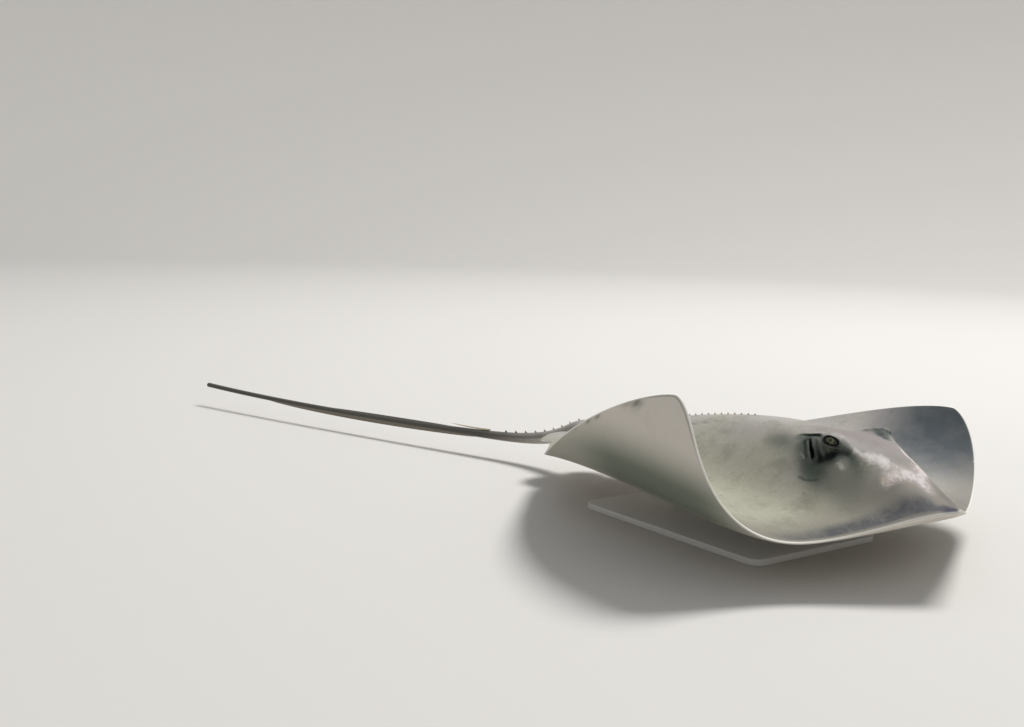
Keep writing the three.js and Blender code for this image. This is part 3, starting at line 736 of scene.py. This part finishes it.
rear_edges = [e for e in skin_bm.edges if e.is_boundary]
order = bmesh.ops.create_circle(skin_bm, segments=TAIL_SIDES, radius=1)["verts"]
front_edges = [e for e in skin_bm.edges if e.verts[0] in set(order)]
draw_ring(order, TAIL_START)
edges = front_edges
rings = [(TAIL_START + (1 - TAIL_START) * n / TAIL_RINGS, 1.0) for n in range(1, TAIL_RINGS + 1)]
for share, shrink in rings + [(1.0, 0.86), (1.0, 0.5)]:
    order, edges = grow_ring(skin_bm, order, edges)
    draw_ring(order, share, shrink)
bmesh.ops.holes_fill(skin_bm, edges=edges, sides=0)
bmesh.ops.bridge_loops(skin_bm, edges=rear_edges + front_edges)
print("boundary edges left:", sum(e.is_boundary for e in skin_bm.edges))

# %% [markdown]
# ## Pelvic fins
# Two small rounded lobes lie under the rear edge of the disc, one on each side of the tail. Each is
# a grid bent into a rounded lobe, doubled for its underside, thinned to nothing all round and
# merged there. Its front is buried in the body, so that it seems to grow from under the disc.

# %% Pelvic lobes
PELVIC = {"front": 862.0, "length": 79.0, "inner": 24.0, "outer": 98.0, "swell": 15.0, "trail": 16.0,
          "height": -3.0, "half": 5.0, "thin": 0.1, "rim_run": 0.05}


def pelvic_lobe(bm, side, face):
    made = bmesh.ops.create_grid(bm, x_segments=20, y_segments=16, size=1)["verts"]
    for v in made:
        run, share = (v.co.x + 1) / 2, (v.co.y + 1) / 2
        turn = run * math.pi / 2
        outer = PELVIC["outer"] + PELVIC["swell"] * math.sin(2 * turn)
        width = (outer - PELVIC["inner"]) * math.cos(turn) ** 0.8
        trail = PELVIC["trail"] * 2 * run * (1 - run) * share
        back = PELVIC["front"] + PELVIC["length"] * math.sin(turn) + trail
        thick = PELVIC["half"] * math.sqrt(max(1 - max(share, run) ** 4, 0))
        thick *= min(1, min(share, run) / PELVIC["thin"]) ** 0.5
        out = PELVIC["inner"] + width * share
        v.co = point_in_frame(point_on_body(back, side * out, PELVIC["height"] + face * thick))
        mark(v, back, side * out, face, (1 - max(share, run)) * PELVIC["rim_run"])
    if face * side < 0:
        bmesh.ops.reverse_faces(bm, faces=list({f for v in made for f in v.link_faces}))
    return made


for side in (1, -1):
    lobe = pelvic_lobe(skin_bm, side, 1) + pelvic_lobe(skin_bm, side, -1)
    bmesh.ops.remove_doubles(skin_bm, verts=lobe, dist=0.00005)
bmesh.ops.recalc_face_normals(skin_bm, faces=skin_bm.faces)
print("with the pelvic fins:", len(skin_bm.faces), "faces")

# %% [markdown]
# ## Thorns
# A row of small thorns runs down the middle of the back and onto the tail. Each one is a low cone
# whose tip leans to the rear. They are many and alike, so one function makes them all, and they
# are part of the skin.

# %% Midline thorns
BACK_THORNS, FIRST_THORN, LAST_THORN = 27, 428.0, 842.0
TAIL_THORNS, TAIL_THORN_START, TAIL_THORN_RUN = 9, 0.02, 0.18
THORN_TIP, THORN_STRETCH, SUNK, TIP_PALE = 0.12, 1.6, 3.0, 1.1


def thorn(foot, up, rearward, back_at, radius, height, lean):
    side = up.cross(rearward).normalized()
    made = bmesh.ops.create_cone(skin_bm, cap_ends=True, segments=8, radius1=1, radius2=THORN_TIP,
                                 depth=1)["verts"]
    for v in made:
        rise = v.co.z + 0.5
        behind = v.co.x * radius * THORN_STRETCH + lean * rise * rise
        spot = foot + rearward * behind + side * (v.co.y * radius) + up * (rise * (height + SUNK) - SUNK)
        v.co = point_in_frame(spot)
        mark(v, back_at, 0, 1)
        v[pale_layer] = TIP_PALE * rise


def midline_point(back, lift=0.0):
    height = float(top_height(np.float64(back), np.float64(0.0))) + lift
    return Vector(point_on_body(back, 0.0, height))


for n in range(BACK_THORNS):
    back_at = FIRST_THORN + (LAST_THORN - FIRST_THORN) * n / (BACK_THORNS - 1)
    foot = midline_point(back_at)
    up = (midline_point(back_at, 1.0) - foot).normalized()
    rearward = (midline_point(back_at + 1) - foot).normalized()
    thorn(foot, up, rearward, back_at, radius=2.6, height=4.0, lean=2.0)
for n in range(TAIL_THORNS):
    share = TAIL_THORN_START + TAIL_THORN_RUN * n / (TAIL_THORNS - 1)
    point, heading, left, up, wide, high = tail_frame(share)
    back_at = DISC_LENGTH + share * TAIL["length"]
    thorn(point + up * high, up, heading, back_at, radius=3.0, height=5.0, lean=3.0)
litres = skin_bm.calc_volume(signed=True) * 1000
print("skin:", len(skin_bm.faces), "faces around", round(litres, 1), "litres")

# %% [markdown]
# The skin becomes an object. It stands for all the nodes of flesh, so that no seam shows.

# %% The skin as an object
def as_object(bm, name):
    mesh = bpy.data.meshes.new(name)
    bm.to_mesh(mesh)
    bm.free()
    for face in mesh.polygons:
        face.use_smooth = True
    obj = bpy.data.objects.new(name, mesh)
    scene.collection.objects.link(obj)
    return obj


def finished(bm, name):
    piece = as_object(bm, name)
    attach(piece, "root")
    print(name, sum(len(p.vertices) - 2 for p in piece.data.polygons), "triangles")
    return piece


skin = finished(skin_bm, "skin")
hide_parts("head", "trunk", "fin_pectoral_left", "fin_pectoral_right", "fin_pelvic_left",
            "fin_pelvic_right", "tail_base", "tail_middle", "tail_end")

# %% [markdown]
# ## Eyeballs
# Each eyeball is a sphere that fits inside its lids. The iris and pupil are drawn by the material,
# so the mesh carries an attribute, `gaze`, with each point's place seen along the line of sight.

# %% Two eyeballs
CORNEA = 0.03


def eyeball(side):
    centre, look, fore, up = eyes[side]
    bm = bmesh.new()
    gaze = bm.verts.layers.float_vector.new("gaze")
    bmesh.ops.create_uvsphere(bm, u_segments=48, v_segments=32, radius=1)
    axes = Matrix((fore, up, look)).transposed()
    for v in bm.verts:
        local = v.co.copy()
        v[gaze] = local
        bulge = 1 + CORNEA * max(local.z, 0) ** 6
        v.co = point_in_frame(Vector(centre) + axes @ (local * BALL * bulge))
    bmesh.ops.recalc_face_normals(bm, faces=bm.faces)
    name = "left" if side > 0 else "right"
    ball = finished(bm, "eyeball_" + name)
    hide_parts("eye_" + name)
    return ball


eyeballs = [eyeball(1), eyeball(-1)]

# %% [markdown]
# ## The sting
# The sting is a flat, barbed spine that lies along the top of the tail. A circle is extruded along
# the tail; its width grows over three rings and drops back, and that makes the barbs along both
# edges.

# %% Sting with barbs
STING = {"start": 0.238, "length": 104.0, "width": 8.0, "thickness": 4.0, "lift": 5.0, "rings": 60,
         "gap": 0.3, "barbed_from": 0.12, "barbed_to": 0.97}


def sting_ring(verts, run):
    share = STING["start"] + run * STING["length"] / TAIL["length"]
    point, heading, left, up, wide, high = tail_frame(share)
    thin = 1 - 0.85 * run ** 2
    barb = (run * STING["rings"] / 3) % 1.0
    barbed = STING["barbed_from"] < run < STING["barbed_to"]
    half = STING["width"] / 2 * thin * (0.78 + 0.22 * barb if barbed else 0.85)
    deep = STING["thickness"] / 2 * thin
    middle = high + STING["gap"] + STING["thickness"] / 2 + STING["lift"] * run ** 2
    for n, v in enumerate(verts):
        angle = n * 2 * math.pi / len(verts)
        spot = point + left * half * math.cos(angle) + up * (middle + deep * math.sin(angle))
        v.co = point_in_frame(spot)


sting_bm = bmesh.new()
order = bmesh.ops.create_circle(sting_bm, cap_ends=True, segments=12, radius=1)["verts"]
sting_ring(order, 0.0)
edges = list(sting_bm.edges)
for n in range(1, STING["rings"] + 1):
    order, edges = grow_ring(sting_bm, order, edges)
    sting_ring(order, n / STING["rings"])
bmesh.ops.holes_fill(sting_bm, edges=edges, sides=0)
bmesh.ops.recalc_face_normals(sting_bm, faces=sting_bm.faces)
sting = finished(sting_bm, "sting")
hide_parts("tail_sting")

# %% [markdown]
# ## The stand
# A heavy steel plate with softened edges carries two short rods. The plate is a cube scaled to
# size whose upright edges are beveled wide and whose rims are beveled fine.

# %% Base plate
CORNER_ROUND, RIM_BREAK = 0.024, 0.0016


def bevel(bm, edges, offset, segments):
    bmesh.ops.bevel(bm, geom=edges, offset=offset, offset_type="OFFSET", affect="EDGES",
                    segments=segments, profile=0.5, material=-1)


low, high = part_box("stand_base")
plate_bm = bmesh.new()
made = bmesh.ops.create_cube(plate_bm, size=1)["verts"]
bmesh.ops.scale(plate_bm, vec=high - low, verts=made)
bmesh.ops.translate(plate_bm, vec=(low + high) / 2, verts=made)
upright = [e for e in plate_bm.edges if abs(e.verts[0].co.z - e.verts[1].co.z) > 0.005]
bevel(plate_bm, upright, CORNER_ROUND, segments=12)
flat_faces = [f for f in plate_bm.faces if abs(f.normal.z) > 0.9]
bevel(plate_bm, list({e for f in flat_faces for e in f.edges}), RIM_BREAK, segments=3)
plate = finished(plate_bm, "base_plate")
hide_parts("stand_base")

# %% [markdown]
# Each rod is turned like on a lathe: half its outline is drawn as a chain of points and spun round
# its axis. A small collar sits on the plate, and a flared pad holds the belly.

# %% Rods
COLLAR, SHANK, PAD = 0.0105, 0.006, 0.015
FOOT_SUNK, PAD_SUNK = 0.0003, 0.001


def turned_shape(outline, centre, steps, weld):
    """Spin an outline of radius and height once round an upright axis."""
    bm = bmesh.new()
    chain = [bm.verts.new((centre.x + radius, centre.y, height)) for radius, height in outline]
    edges = [bm.edges.new(pair) for pair in zip(chain, chain[1:])]
    bmesh.ops.spin(bm, geom=chain + edges, cent=(centre.x, centre.y, 0), axis=(0, 0, 1),
                   angle=2 * math.pi, steps=steps, use_merge=True)
    bmesh.ops.remove_doubles(bm, verts=bm.verts, dist=weld)
    bmesh.ops.recalc_face_normals(bm, faces=bm.faces)
    return bm


def rod(name):
    low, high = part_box("stand_rod_" + name)
    foot, top = low.z - FOOT_SUNK, high.z + PAD_SUNK
    outline = [(0.0, foot), (COLLAR, foot), (COLLAR, low.z + 0.004), (0.0092, low.z + 0.0055),
               (SHANK, low.z + 0.0062), (SHANK, high.z - 0.013), (0.0072, high.z - 0.0105),
               (0.0142, high.z - 0.0062), (PAD, high.z - 0.005), (PAD, top), (0.0, top)]
    turned_bm = turned_shape(outline, (low + high) / 2, steps=48, weld=0.00001)
    turned = finished(turned_bm, "rod_" + name)
    soft = turned.modifiers.new("soft edges", "BEVEL")
    soft.width, soft.segments, soft.angle_limit = 0.0004, 2, math.radians(40)
    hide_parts("stand_rod_" + name)
    return turned


rods = [rod("front"), rod("rear")]

# %% [markdown]
# ## Writing materials as sums
# A material is a network of nodes. Wrapping a socket in a small class lets the network be written
# like ordinary sums: `1 - mask` adds its node by itself.

# %% A class for sockets
def maths(operation, swapped=False):
    """A method that adds one maths node; a swapped one has its own socket on the right."""
    def method(self, other=None):
        first, second = (other, self) if swapped else (self, other)
        return self.finish.add("ShaderNodeMath", {"operation": operation}, {0: first, 1: second})
    return method


class Wire:
    def __init__(self, finish, socket):
        self.finish, self.socket = finish, socket

    __add__, __radd__ = maths("ADD"), maths("ADD", swapped=True)
    __sub__, __rsub__ = maths("SUBTRACT"), maths("SUBTRACT", swapped=True)
    __mul__, __rmul__ = maths("MULTIPLY"), maths("MULTIPLY", swapped=True)
    __truediv__, __pow__ = maths("DIVIDE"), maths("POWER")
    __abs__, under = maths("ABSOLUTE"), maths("MINIMUM")

    def ramp(self, start, end):
        """0 below start and 1 above end, with a soft change between them."""
        return self.finish.add("ShaderNodeMapRange", {"interpolation_type": "SMOOTHSTEP"},
                               {"Value": self, "From Min": start, "From Max": end})


print("a wire has", sum(callable(method) for method in vars(Wire).values()), "methods")

# %% [markdown]
# A finish is one material. Its `add` makes any node from a type, the settings and the values or
# links of the sockets; the other methods are short names for the nodes that are used often.

# %% A class for finishes
class Finish:
    def __init__(self, name):
        self.material = bpy.data.materials.new(name)
        self.material.use_nodes = True
        self.tree = self.material.node_tree
        self.shader = self.tree.nodes["Principled BSDF"]

    def put(self, socket, value):
        if isinstance(value, Wire):
            self.tree.links.new(value.socket, socket)
        elif value is not None:
            socket.default_value = value

    def add(self, kind, settings, inputs, output=0):
        node = self.tree.nodes.new(kind)
        for key, value in settings.items():
            setattr(node, key, value)
        for key, value in inputs.items():
            self.put(node.inputs[key], value)
        return Wire(self, node.outputs[output])

    def mix(self, factor, first, second):
        return self.add("ShaderNodeMix", {"data_type": "RGBA"}, {0: factor, 6: first, 7: second}, 2)

    def noise(self, place, scale, detail=3.0, rough=0.5):
        return self.add("ShaderNodeTexNoise", {}, {"Vector": place, "Scale": scale, "Detail": detail,
                                                   "Roughness": rough})

    def own_place(self):
        return self.add("ShaderNodeTexCoord", {}, {}, "Object")

    def attribute(self, name, output="Vector"):
        return self.add("ShaderNodeAttribute", {"attribute_name": name}, {}, output)

    def parts(self, vector):
        return [self.add("ShaderNodeSeparateXYZ", {}, {0: vector}, n) for n in range(3)]

    def bump(self, height, strength, distance, normal=None):
        return self.add("ShaderNodeBump", {}, {"Height": height, "Strength": strength,
                                               "Distance": distance, "Normal": normal})

    def surface(self, **inputs):
        for key, value in inputs.items():
            self.put(self.shader.inputs[key.replace("_", " ")], value)

    def wear(self, *objects):
        for obj in objects:
            obj.data.materials.clear()
            obj.data.materials.append(self.material)
        print(self.material.name, "has", len(self.tree.nodes), "nodes")


print("finishes so far:", len(bpy.data.materials))

# %% [markdown]
# Colours are chosen as the 8-bit numbers of a screen. Shaders work with linear light, so a small
# function turns the one into the other.

# %% Colours
def colour(red, green, blue):
    """An 8-bit screen colour as the linear colour that shaders use."""
    def linear(value):
        share = value / 255
        return share / 12.92 if share < 0.04045 else ((share + 0.055) / 1.055) ** 2.4
    return (linear(red), linear(green), linear(blue), 1.0)


print("a middle grey is", round(colour(128, 128, 128)[0], 3), "as a linear colour")

# %% [markdown]
# ## Skin colours
# The skin's colours are laid on like coats of paint, each with a mask that says where it shows.
# The masks are worked out from the plan, whose places ride on the mesh, and from noise of several
# sizes, which breaks up their edges.

# %% Masks and coats
skin_finish = Finish("ray skin")
spot = skin_finish.attribute("plan")
back_m, across_m, level_s = skin_finish.parts(spot)
out_m = abs(across_m)
rim_m = skin_finish.attribute("rim", "Fac")
ink_and_shade_s = skin_finish.attribute("ink_and_shade", "Fac")
place_o = skin_finish.own_place()
broad = skin_finish.noise(place_o, 7.0, 2.0)
cloudy = skin_finish.noise(place_o, 26.0, 4.0, 0.6)
streaks = skin_finish.noise(place_o, 130.0, 4.0, 0.7)
grain = skin_finish.noise(place_o, 420.0, 3.0, 0.6)
fine = skin_finish.noise(place_o, 1500.0, 2.0, 0.5)


def coat(base, mask, red, green, blue):
    """A coat of one colour over the base, where the mask says."""
    return skin_finish.mix(mask, base, colour(red, green, blue))


def near_spot(centre, reach):
    """1 at a place on the plan, given in millimetres, and 0 beyond its reach."""
    along = (back_m - centre[0] * MM) / (reach[0] * MM)
    aside = (out_m - centre[1] * MM) / (reach[1] * MM)
    return 1 - (along * along + aside * aside).ramp(0.0, 1.0)


print("nodes for the masks:", len(skin_finish.tree.nodes))

# %% [markdown]
# The back is grey like sand down the middle and olive on the right, with a fine mottle. On the left
# it is sand-grey too: painted light, for the paler light that falls on the left fin.

# %% The back's own colours
topside = level_s.ramp(-0.05, 0.15)
OLIVE, SAND = colour(155, 153, 135), colour(159, 153, 151)
high_back = 1 - (out_m * (1.0 / 0.16)).ramp(0.25, 1.0)
# Painted light: the left side is lifted toward the sand colour.
sand_and_left_light = high_back * 0.7 + (broad - 0.5) * 1.1 + across_m.ramp(0.04, 0.24) * 0.7
upper = skin_finish.mix(sand_and_left_light.ramp(0.0, 1.0), OLIVE, SAND)
upper = coat(upper, cloudy.ramp(0.46, 0.7) * 0.42, 118, 120, 102)
upper = coat(upper, streaks.ramp(0.52, 0.7) * 0.3, 184, 178, 166)
upper = coat(upper, grain.ramp(0.54, 0.7) * 0.3, 190, 186, 170)
speck = skin_finish.add("ShaderNodeTexVoronoi", {}, {"Vector": place_o, "Scale": 34.0})
upper = coat(upper, (1 - speck.ramp(0.06, 0.16)) * (broad - 0.3) * 1.2, 92, 96, 84)
print("nodes for the mottle too:", len(skin_finish.tree.nodes))

# %% [markdown]
# The outer part of each fin is darkened to slate, a painted shade, and so is the front of the disc
# along its rim. The snout has a dusky edge with a dark point. The skin round each eye and spiracle
# is darkest: dark skin together with painted shade in the hollows. The brow is pale, and the
# forehead has a slightly pink patch with ragged edges.

# %% Markings of the back
# Painted shade: a slate patch over the outer part of each fin, for the shaded steep fin.
fin_tip_shade = near_spot((340, 475), (215, 220)) * (0.72 + cloudy * 0.4)
upper = coat(upper, fin_tip_shade.under(0.92), 58, 67, 74)
between_eyes = near_spot((190, 0), (150, 72)) * 0.78
upper = coat(upper, between_eyes, 122, 113, 112)
# Painted shade: the front of the disc near its rim, which faces away from the light.
flank = (1 - rim_m.ramp(0.02, 0.11)) * (1 - back_m.ramp(0.16, 0.34)) * 0.7
upper = coat(upper, flank, 112, 106, 96)
dusky_band = (1 - rim_m.ramp(0.018, 0.042)) * (1 - back_m.ramp(0.1, 0.2)) * rim_m.ramp(0.002, 0.009)
dusky_band = dusky_band * (1 - (1 - out_m.ramp(0.006, 0.03)) * back_m.ramp(0.018, 0.03) * 0.9)
dusky_band = dusky_band * (1 - across_m.ramp(0.0, 0.012) * 0.7)
dusky_band = (dusky_band * (streaks + cloudy * 1.2 - 0.3)).under(0.85)
upper = coat(upper, dusky_band, 52, 55, 62)
tip = (1 - back_m.ramp(0.010, 0.026)) * (1 - out_m.ramp(0.012, 0.03))
upper = coat(upper, tip * 0.9, 40, 34, 56)
# Dark teal over the dark marks: the skin's own dark patches together with painted shade in creases, slits
# and pockets.
INK_AND_SHADE = (34, 54, 46)
mid_ink_and_shade = ink_and_shade_s.ramp(0.02, 0.7) * 0.78
upper = coat(upper, mid_ink_and_shade, *INK_AND_SHADE)
pale_mask = (skin_finish.attribute("pale", "Fac") + (streaks - 0.5) * 1.1).ramp(0.3, 1.15)
upper = coat(upper, pale_mask * 0.75, 222, 214, 210)
rose_mask = skin_finish.attribute("rose", "Fac")
upper = coat(upper, rose_mask.ramp(0.05, 0.6) * 0.35, 190, 176, 172)
ragged = rose_mask + (streaks - 0.5) * 1.5 + (cloudy - 0.5) * 1.2
rose_tone = skin_finish.mix((streaks + (0.03 - out_m) * 3.0).ramp(0.36, 0.6), colour(196, 182, 168),
                            colour(210, 202, 202))
upper = skin_finish.mix(ragged.ramp(0.45, 1.0) * 0.75, upper, rose_tone)
print("nodes for the markings too:", len(skin_finish.tree.nodes))

# %% [markdown]
# The underside is white, with a stretch of painted shade where the fins bend under, full on the
# right and weaker on the left. Above the rim the skin has the back's colours and below it the
# belly's, and the rim itself is a thin pale line all round. The tail is darker, and the slits and
# the groove under the eye are almost black with painted shade.

# %% Underside, tail and rim
lower = coat(colour(206, 200, 190), cloudy.ramp(0.5, 0.8) * 0.25, 176, 172, 158)
# Painted shade where the fins bend under, full on the right fin and weaker on the left.
fin_bend_shade = out_m.ramp(0.2, 0.3) * (1 - out_m.ramp(0.345, 0.435)) * back_m.ramp(0.1, 0.3)
fin_bend_shade = fin_bend_shade * (1 - back_m.ramp(0.48, 0.62) * 0.5) * (1 - across_m.ramp(-0.1, 0.1) * 0.55)
lower = coat(lower, fin_bend_shade * 0.9, 102, 112, 98)
dark_line = rim_m.ramp(0.0018, 0.003) * (1 - rim_m.ramp(0.0036, 0.006))
dark_line = dark_line * back_m.ramp(0.26, 0.34) * (1 - back_m.ramp(0.42, 0.46))
lower = coat(lower, dark_line * 0.5, 90, 92, 88)
# The same dark teal on the underside: painted shade in the gill slits, mouth, nostrils and vent, and the
# dark blotches.
lower = coat(lower, mid_ink_and_shade, *INK_AND_SHADE)
both = skin_finish.mix(topside, lower, upper)
tail_dark = back_m.ramp(0.88, 1.2)
tail_tone = skin_finish.mix(level_s.ramp(-0.9, -0.3), colour(120, 114, 104), colour(84, 82, 76))
both = skin_finish.mix(tail_dark, both, tail_tone)
rim_line = 1 - rim_m.ramp(0.0008, 0.0032)
rim_line = rim_line * (1 - (1 - out_m.ramp(0.026, 0.034)) * back_m.ramp(0.86, 0.87))
rim_line = rim_line * (0.35 + back_m.ramp(0.01, 0.2) * 0.6)
both = coat(both, rim_line, 232, 230, 222)
# Painted shade: where the dark marks add up, in the slits, spiracles and grooves, the skin goes almost
# black.
both = coat(both, ink_and_shade_s.ramp(0.6, 1.3), 8, 11, 9)
relief = skin_finish.bump(grain * 0.7 + fine * 0.3, 0.25, 0.0006)
relief = skin_finish.bump(cloudy, 0.15, 0.003, relief)
skin_finish.surface(Base_Color=both, Roughness=0.5 + grain * 0.2, Normal=relief)
skin_finish.shader.inputs["Specular IOR Level"].default_value = 0.15
skin_finish.wear(skin)

# %% [markdown]
# ## Eye, sting and stand
# The eye is almost black at its rim, with a gold-flecked olive iris and a dark pupil under a
# clear, wet surface. All of it is drawn on `gaze`, so the pattern looks where the eye looks.

# %% Eye material
eye_finish = Finish("ray eye")
gaze = eye_finish.attribute("gaze")
gx, gy = eye_finish.parts(gaze)[:2]
radius = (gx * gx + gy * gy * 1.5) ** 0.5
flecks = eye_finish.noise(gaze, 16.0, 4.0, 0.75)
iris = eye_finish.mix(flecks.ramp(0.46, 0.66), colour(22, 28, 20), colour(104, 106, 62))
uneven = radius + (eye_finish.noise(gaze, 7.0, 2.0) - 0.5) * 0.45
iris = eye_finish.mix((uneven + (flecks - 0.5) * 0.3).ramp(0.4, 0.56), iris, colour(9, 12, 9))
pupil = 1 - (uneven + (flecks - 0.5) * 0.1).ramp(0.16, 0.24)
ring = (1 - abs(uneven - 0.33).ramp(0.02, 0.12)) * flecks.ramp(0.3, 0.6)
iris = eye_finish.mix(ring.under(0.75), iris, colour(124, 132, 92))
eye_finish.surface(Base_Color=eye_finish.mix(pupil, iris, colour(5, 6, 6)), Roughness=0.12)
eye_finish.shader.inputs["Specular IOR Level"].default_value = 0.25
eye_finish.shader.inputs["Coat Weight"].default_value = 0.35
eye_finish.shader.inputs["Coat Roughness"].default_value = 0.04
eye_finish.wear(*eyeballs)

# %% [markdown]
# The sting is dull, streaky bone.

# %% Sting material
sting_finish = Finish("sting bone")
streak = sting_finish.noise(sting_finish.own_place(), 300.0, 4.0, 0.6)
bone = sting_finish.mix(streak, colour(150, 138, 112), colour(196, 186, 158))
sting_finish.surface(Base_Color=bone, Roughness=0.5 + streak * 0.15,
                     Normal=sting_finish.bump(streak, 0.3, 0.0003))
sting_finish.wear(sting)

# %% [markdown]
# The plate has a pale powder coat: a fine pebbled bump, and a colour that is hardly uneven.

# %% Plate material
paint_finish = Finish("powder coat")
place_p = paint_finish.own_place()
pebble = paint_finish.noise(place_p, 1800.0, 2.0, 0.5)
worn = paint_finish.noise(place_p, 9.0, 3.0, 0.6)
paint = paint_finish.mix(worn * 0.3, colour(204, 204, 200), colour(190, 190, 188))
paint_finish.surface(Base_Color=paint, Roughness=0.48 + worn * 0.12,
                     Normal=paint_finish.bump(pebble, 0.25, 0.0002))
paint_finish.wear(plate)

# %% [markdown]
# The rods are brushed round their axis. A noise that is squeezed along the axis gives fine rings.

# %% Rod material
steel_finish = Finish("brushed steel")
stretched = steel_finish.add("ShaderNodeMapping", {}, {"Vector": steel_finish.own_place(),
                                                       "Scale": (60.0, 60.0, 4000.0)})
brushed = steel_finish.noise(stretched, 1.0, 3.0, 0.6)
steel = steel_finish.mix(brushed, colour(150, 151, 152), colour(190, 191, 192))
steel_finish.surface(Base_Color=steel, Metallic=1.0, Roughness=0.26 + brushed * 0.16,
                     Normal=steel_finish.bump(brushed, 0.1, 0.0002))
steel_finish.wear(*rods)

# %% [markdown]
# ## Floor, light and camera
# The studio is a wide shallow bowl: a flat floor whose edge curves up into a wall, so that no
# horizon shows from any side. It is one outline, spun round.

# %% Floor
MID_FLOOR, FLAT_FLOOR, WALL_ROUND, WALL_TOP, FLOOR_DROP = 3.0, 7.0, 3.0, 5.0, 0.0004
outline = [(0.0, 0.0), (MID_FLOOR, 0.0), (FLAT_FLOOR, 0.0)]
outline += [(FLAT_FLOOR + WALL_ROUND * math.sin(a), WALL_ROUND - WALL_ROUND * math.cos(a))
            for a in np.linspace(0.1, math.pi / 2, 10)]
outline += [(FLAT_FLOOR + WALL_ROUND, WALL_TOP)]
lowered = [(radius, height - FLOOR_DROP) for radius, height in outline]
bowl_bm = turned_shape(lowered, Vector((0, 0, 0)), steps=64, weld=0.0001)
bmesh.ops.reverse_faces(bowl_bm, faces=bowl_bm.faces)
floor = as_object(bowl_bm, "studio_floor")
floor_finish = Finish("studio floor")
floor_finish.surface(Base_Color=colour(196, 193, 188), Roughness=0.9)
floor_finish.wear(floor)

# %% [markdown]
# A large soft light hangs above, and a weak one lifts the shadows from the front. The air itself
# gives the rest.

# %% Lights
def soft_light(name, place_at, aim, size, watts):
    data = bpy.data.lights.new(name, "AREA")
    data.shape, data.size, data.energy = "DISK", size, watts
    lamp = bpy.data.objects.new(name, data)
    lamp.location = place_at
    lamp.rotation_euler = (Vector(aim) - Vector(place_at)).to_track_quat("-Z", "Y").to_euler()
    scene.collection.objects.link(lamp)
    print(name, "light:", watts, "W")


soft_light("key", (-0.8, 4.4, 8.2), (0.0, 0.0, 0.1), 3.2, 950)
soft_light("fill", (2.4, -2.6, 2.2), (0.0, 0.0, 0.1), 2.4, 10)
world = bpy.data.worlds.new("studio air")
world.use_nodes = True
world.node_tree.nodes["Background"].inputs["Color"].default_value = (0.92, 0.95, 1.0, 1.0)
world.node_tree.nodes["Background"].inputs["Strength"].default_value = 0.5
scene.world = world
scene.view_settings.view_transform = "Standard"

# %% [markdown]
# The camera stands low, ahead of the ray and to its right, as a diver would hold it, and is
# turned a little about its own line of sight.

# %% Camera
CAMERA_PLACE = Vector((1.5462, -1.6787, 0.6051))
SIGHT = Vector((-0.7893, 0.5974, -0.1419)).normalized()
CAMERA_ROLL, LENS = 0.038, 43.95
right_hand = SIGHT.cross(Vector((0, 0, 1))).normalized()
upward = right_hand.cross(SIGHT)
turned_right = right_hand * math.cos(CAMERA_ROLL) + upward * math.sin(CAMERA_ROLL)
turned_up = upward * math.cos(CAMERA_ROLL) - right_hand * math.sin(CAMERA_ROLL)
camera_data = bpy.data.cameras.new("camera")
camera_data.lens, camera_data.sensor_width = LENS, 36.0
camera = bpy.data.objects.new("camera", camera_data)
camera.matrix_world = Matrix.Translation(CAMERA_PLACE) @ Matrix(
    (turned_right, turned_up, -SIGHT)).transposed().to_4x4()
scene.collection.objects.link(camera)
scene.camera = camera
print("the camera is", round(CAMERA_PLACE.length, 2), "m from the middle of the stand")

# %% [markdown]
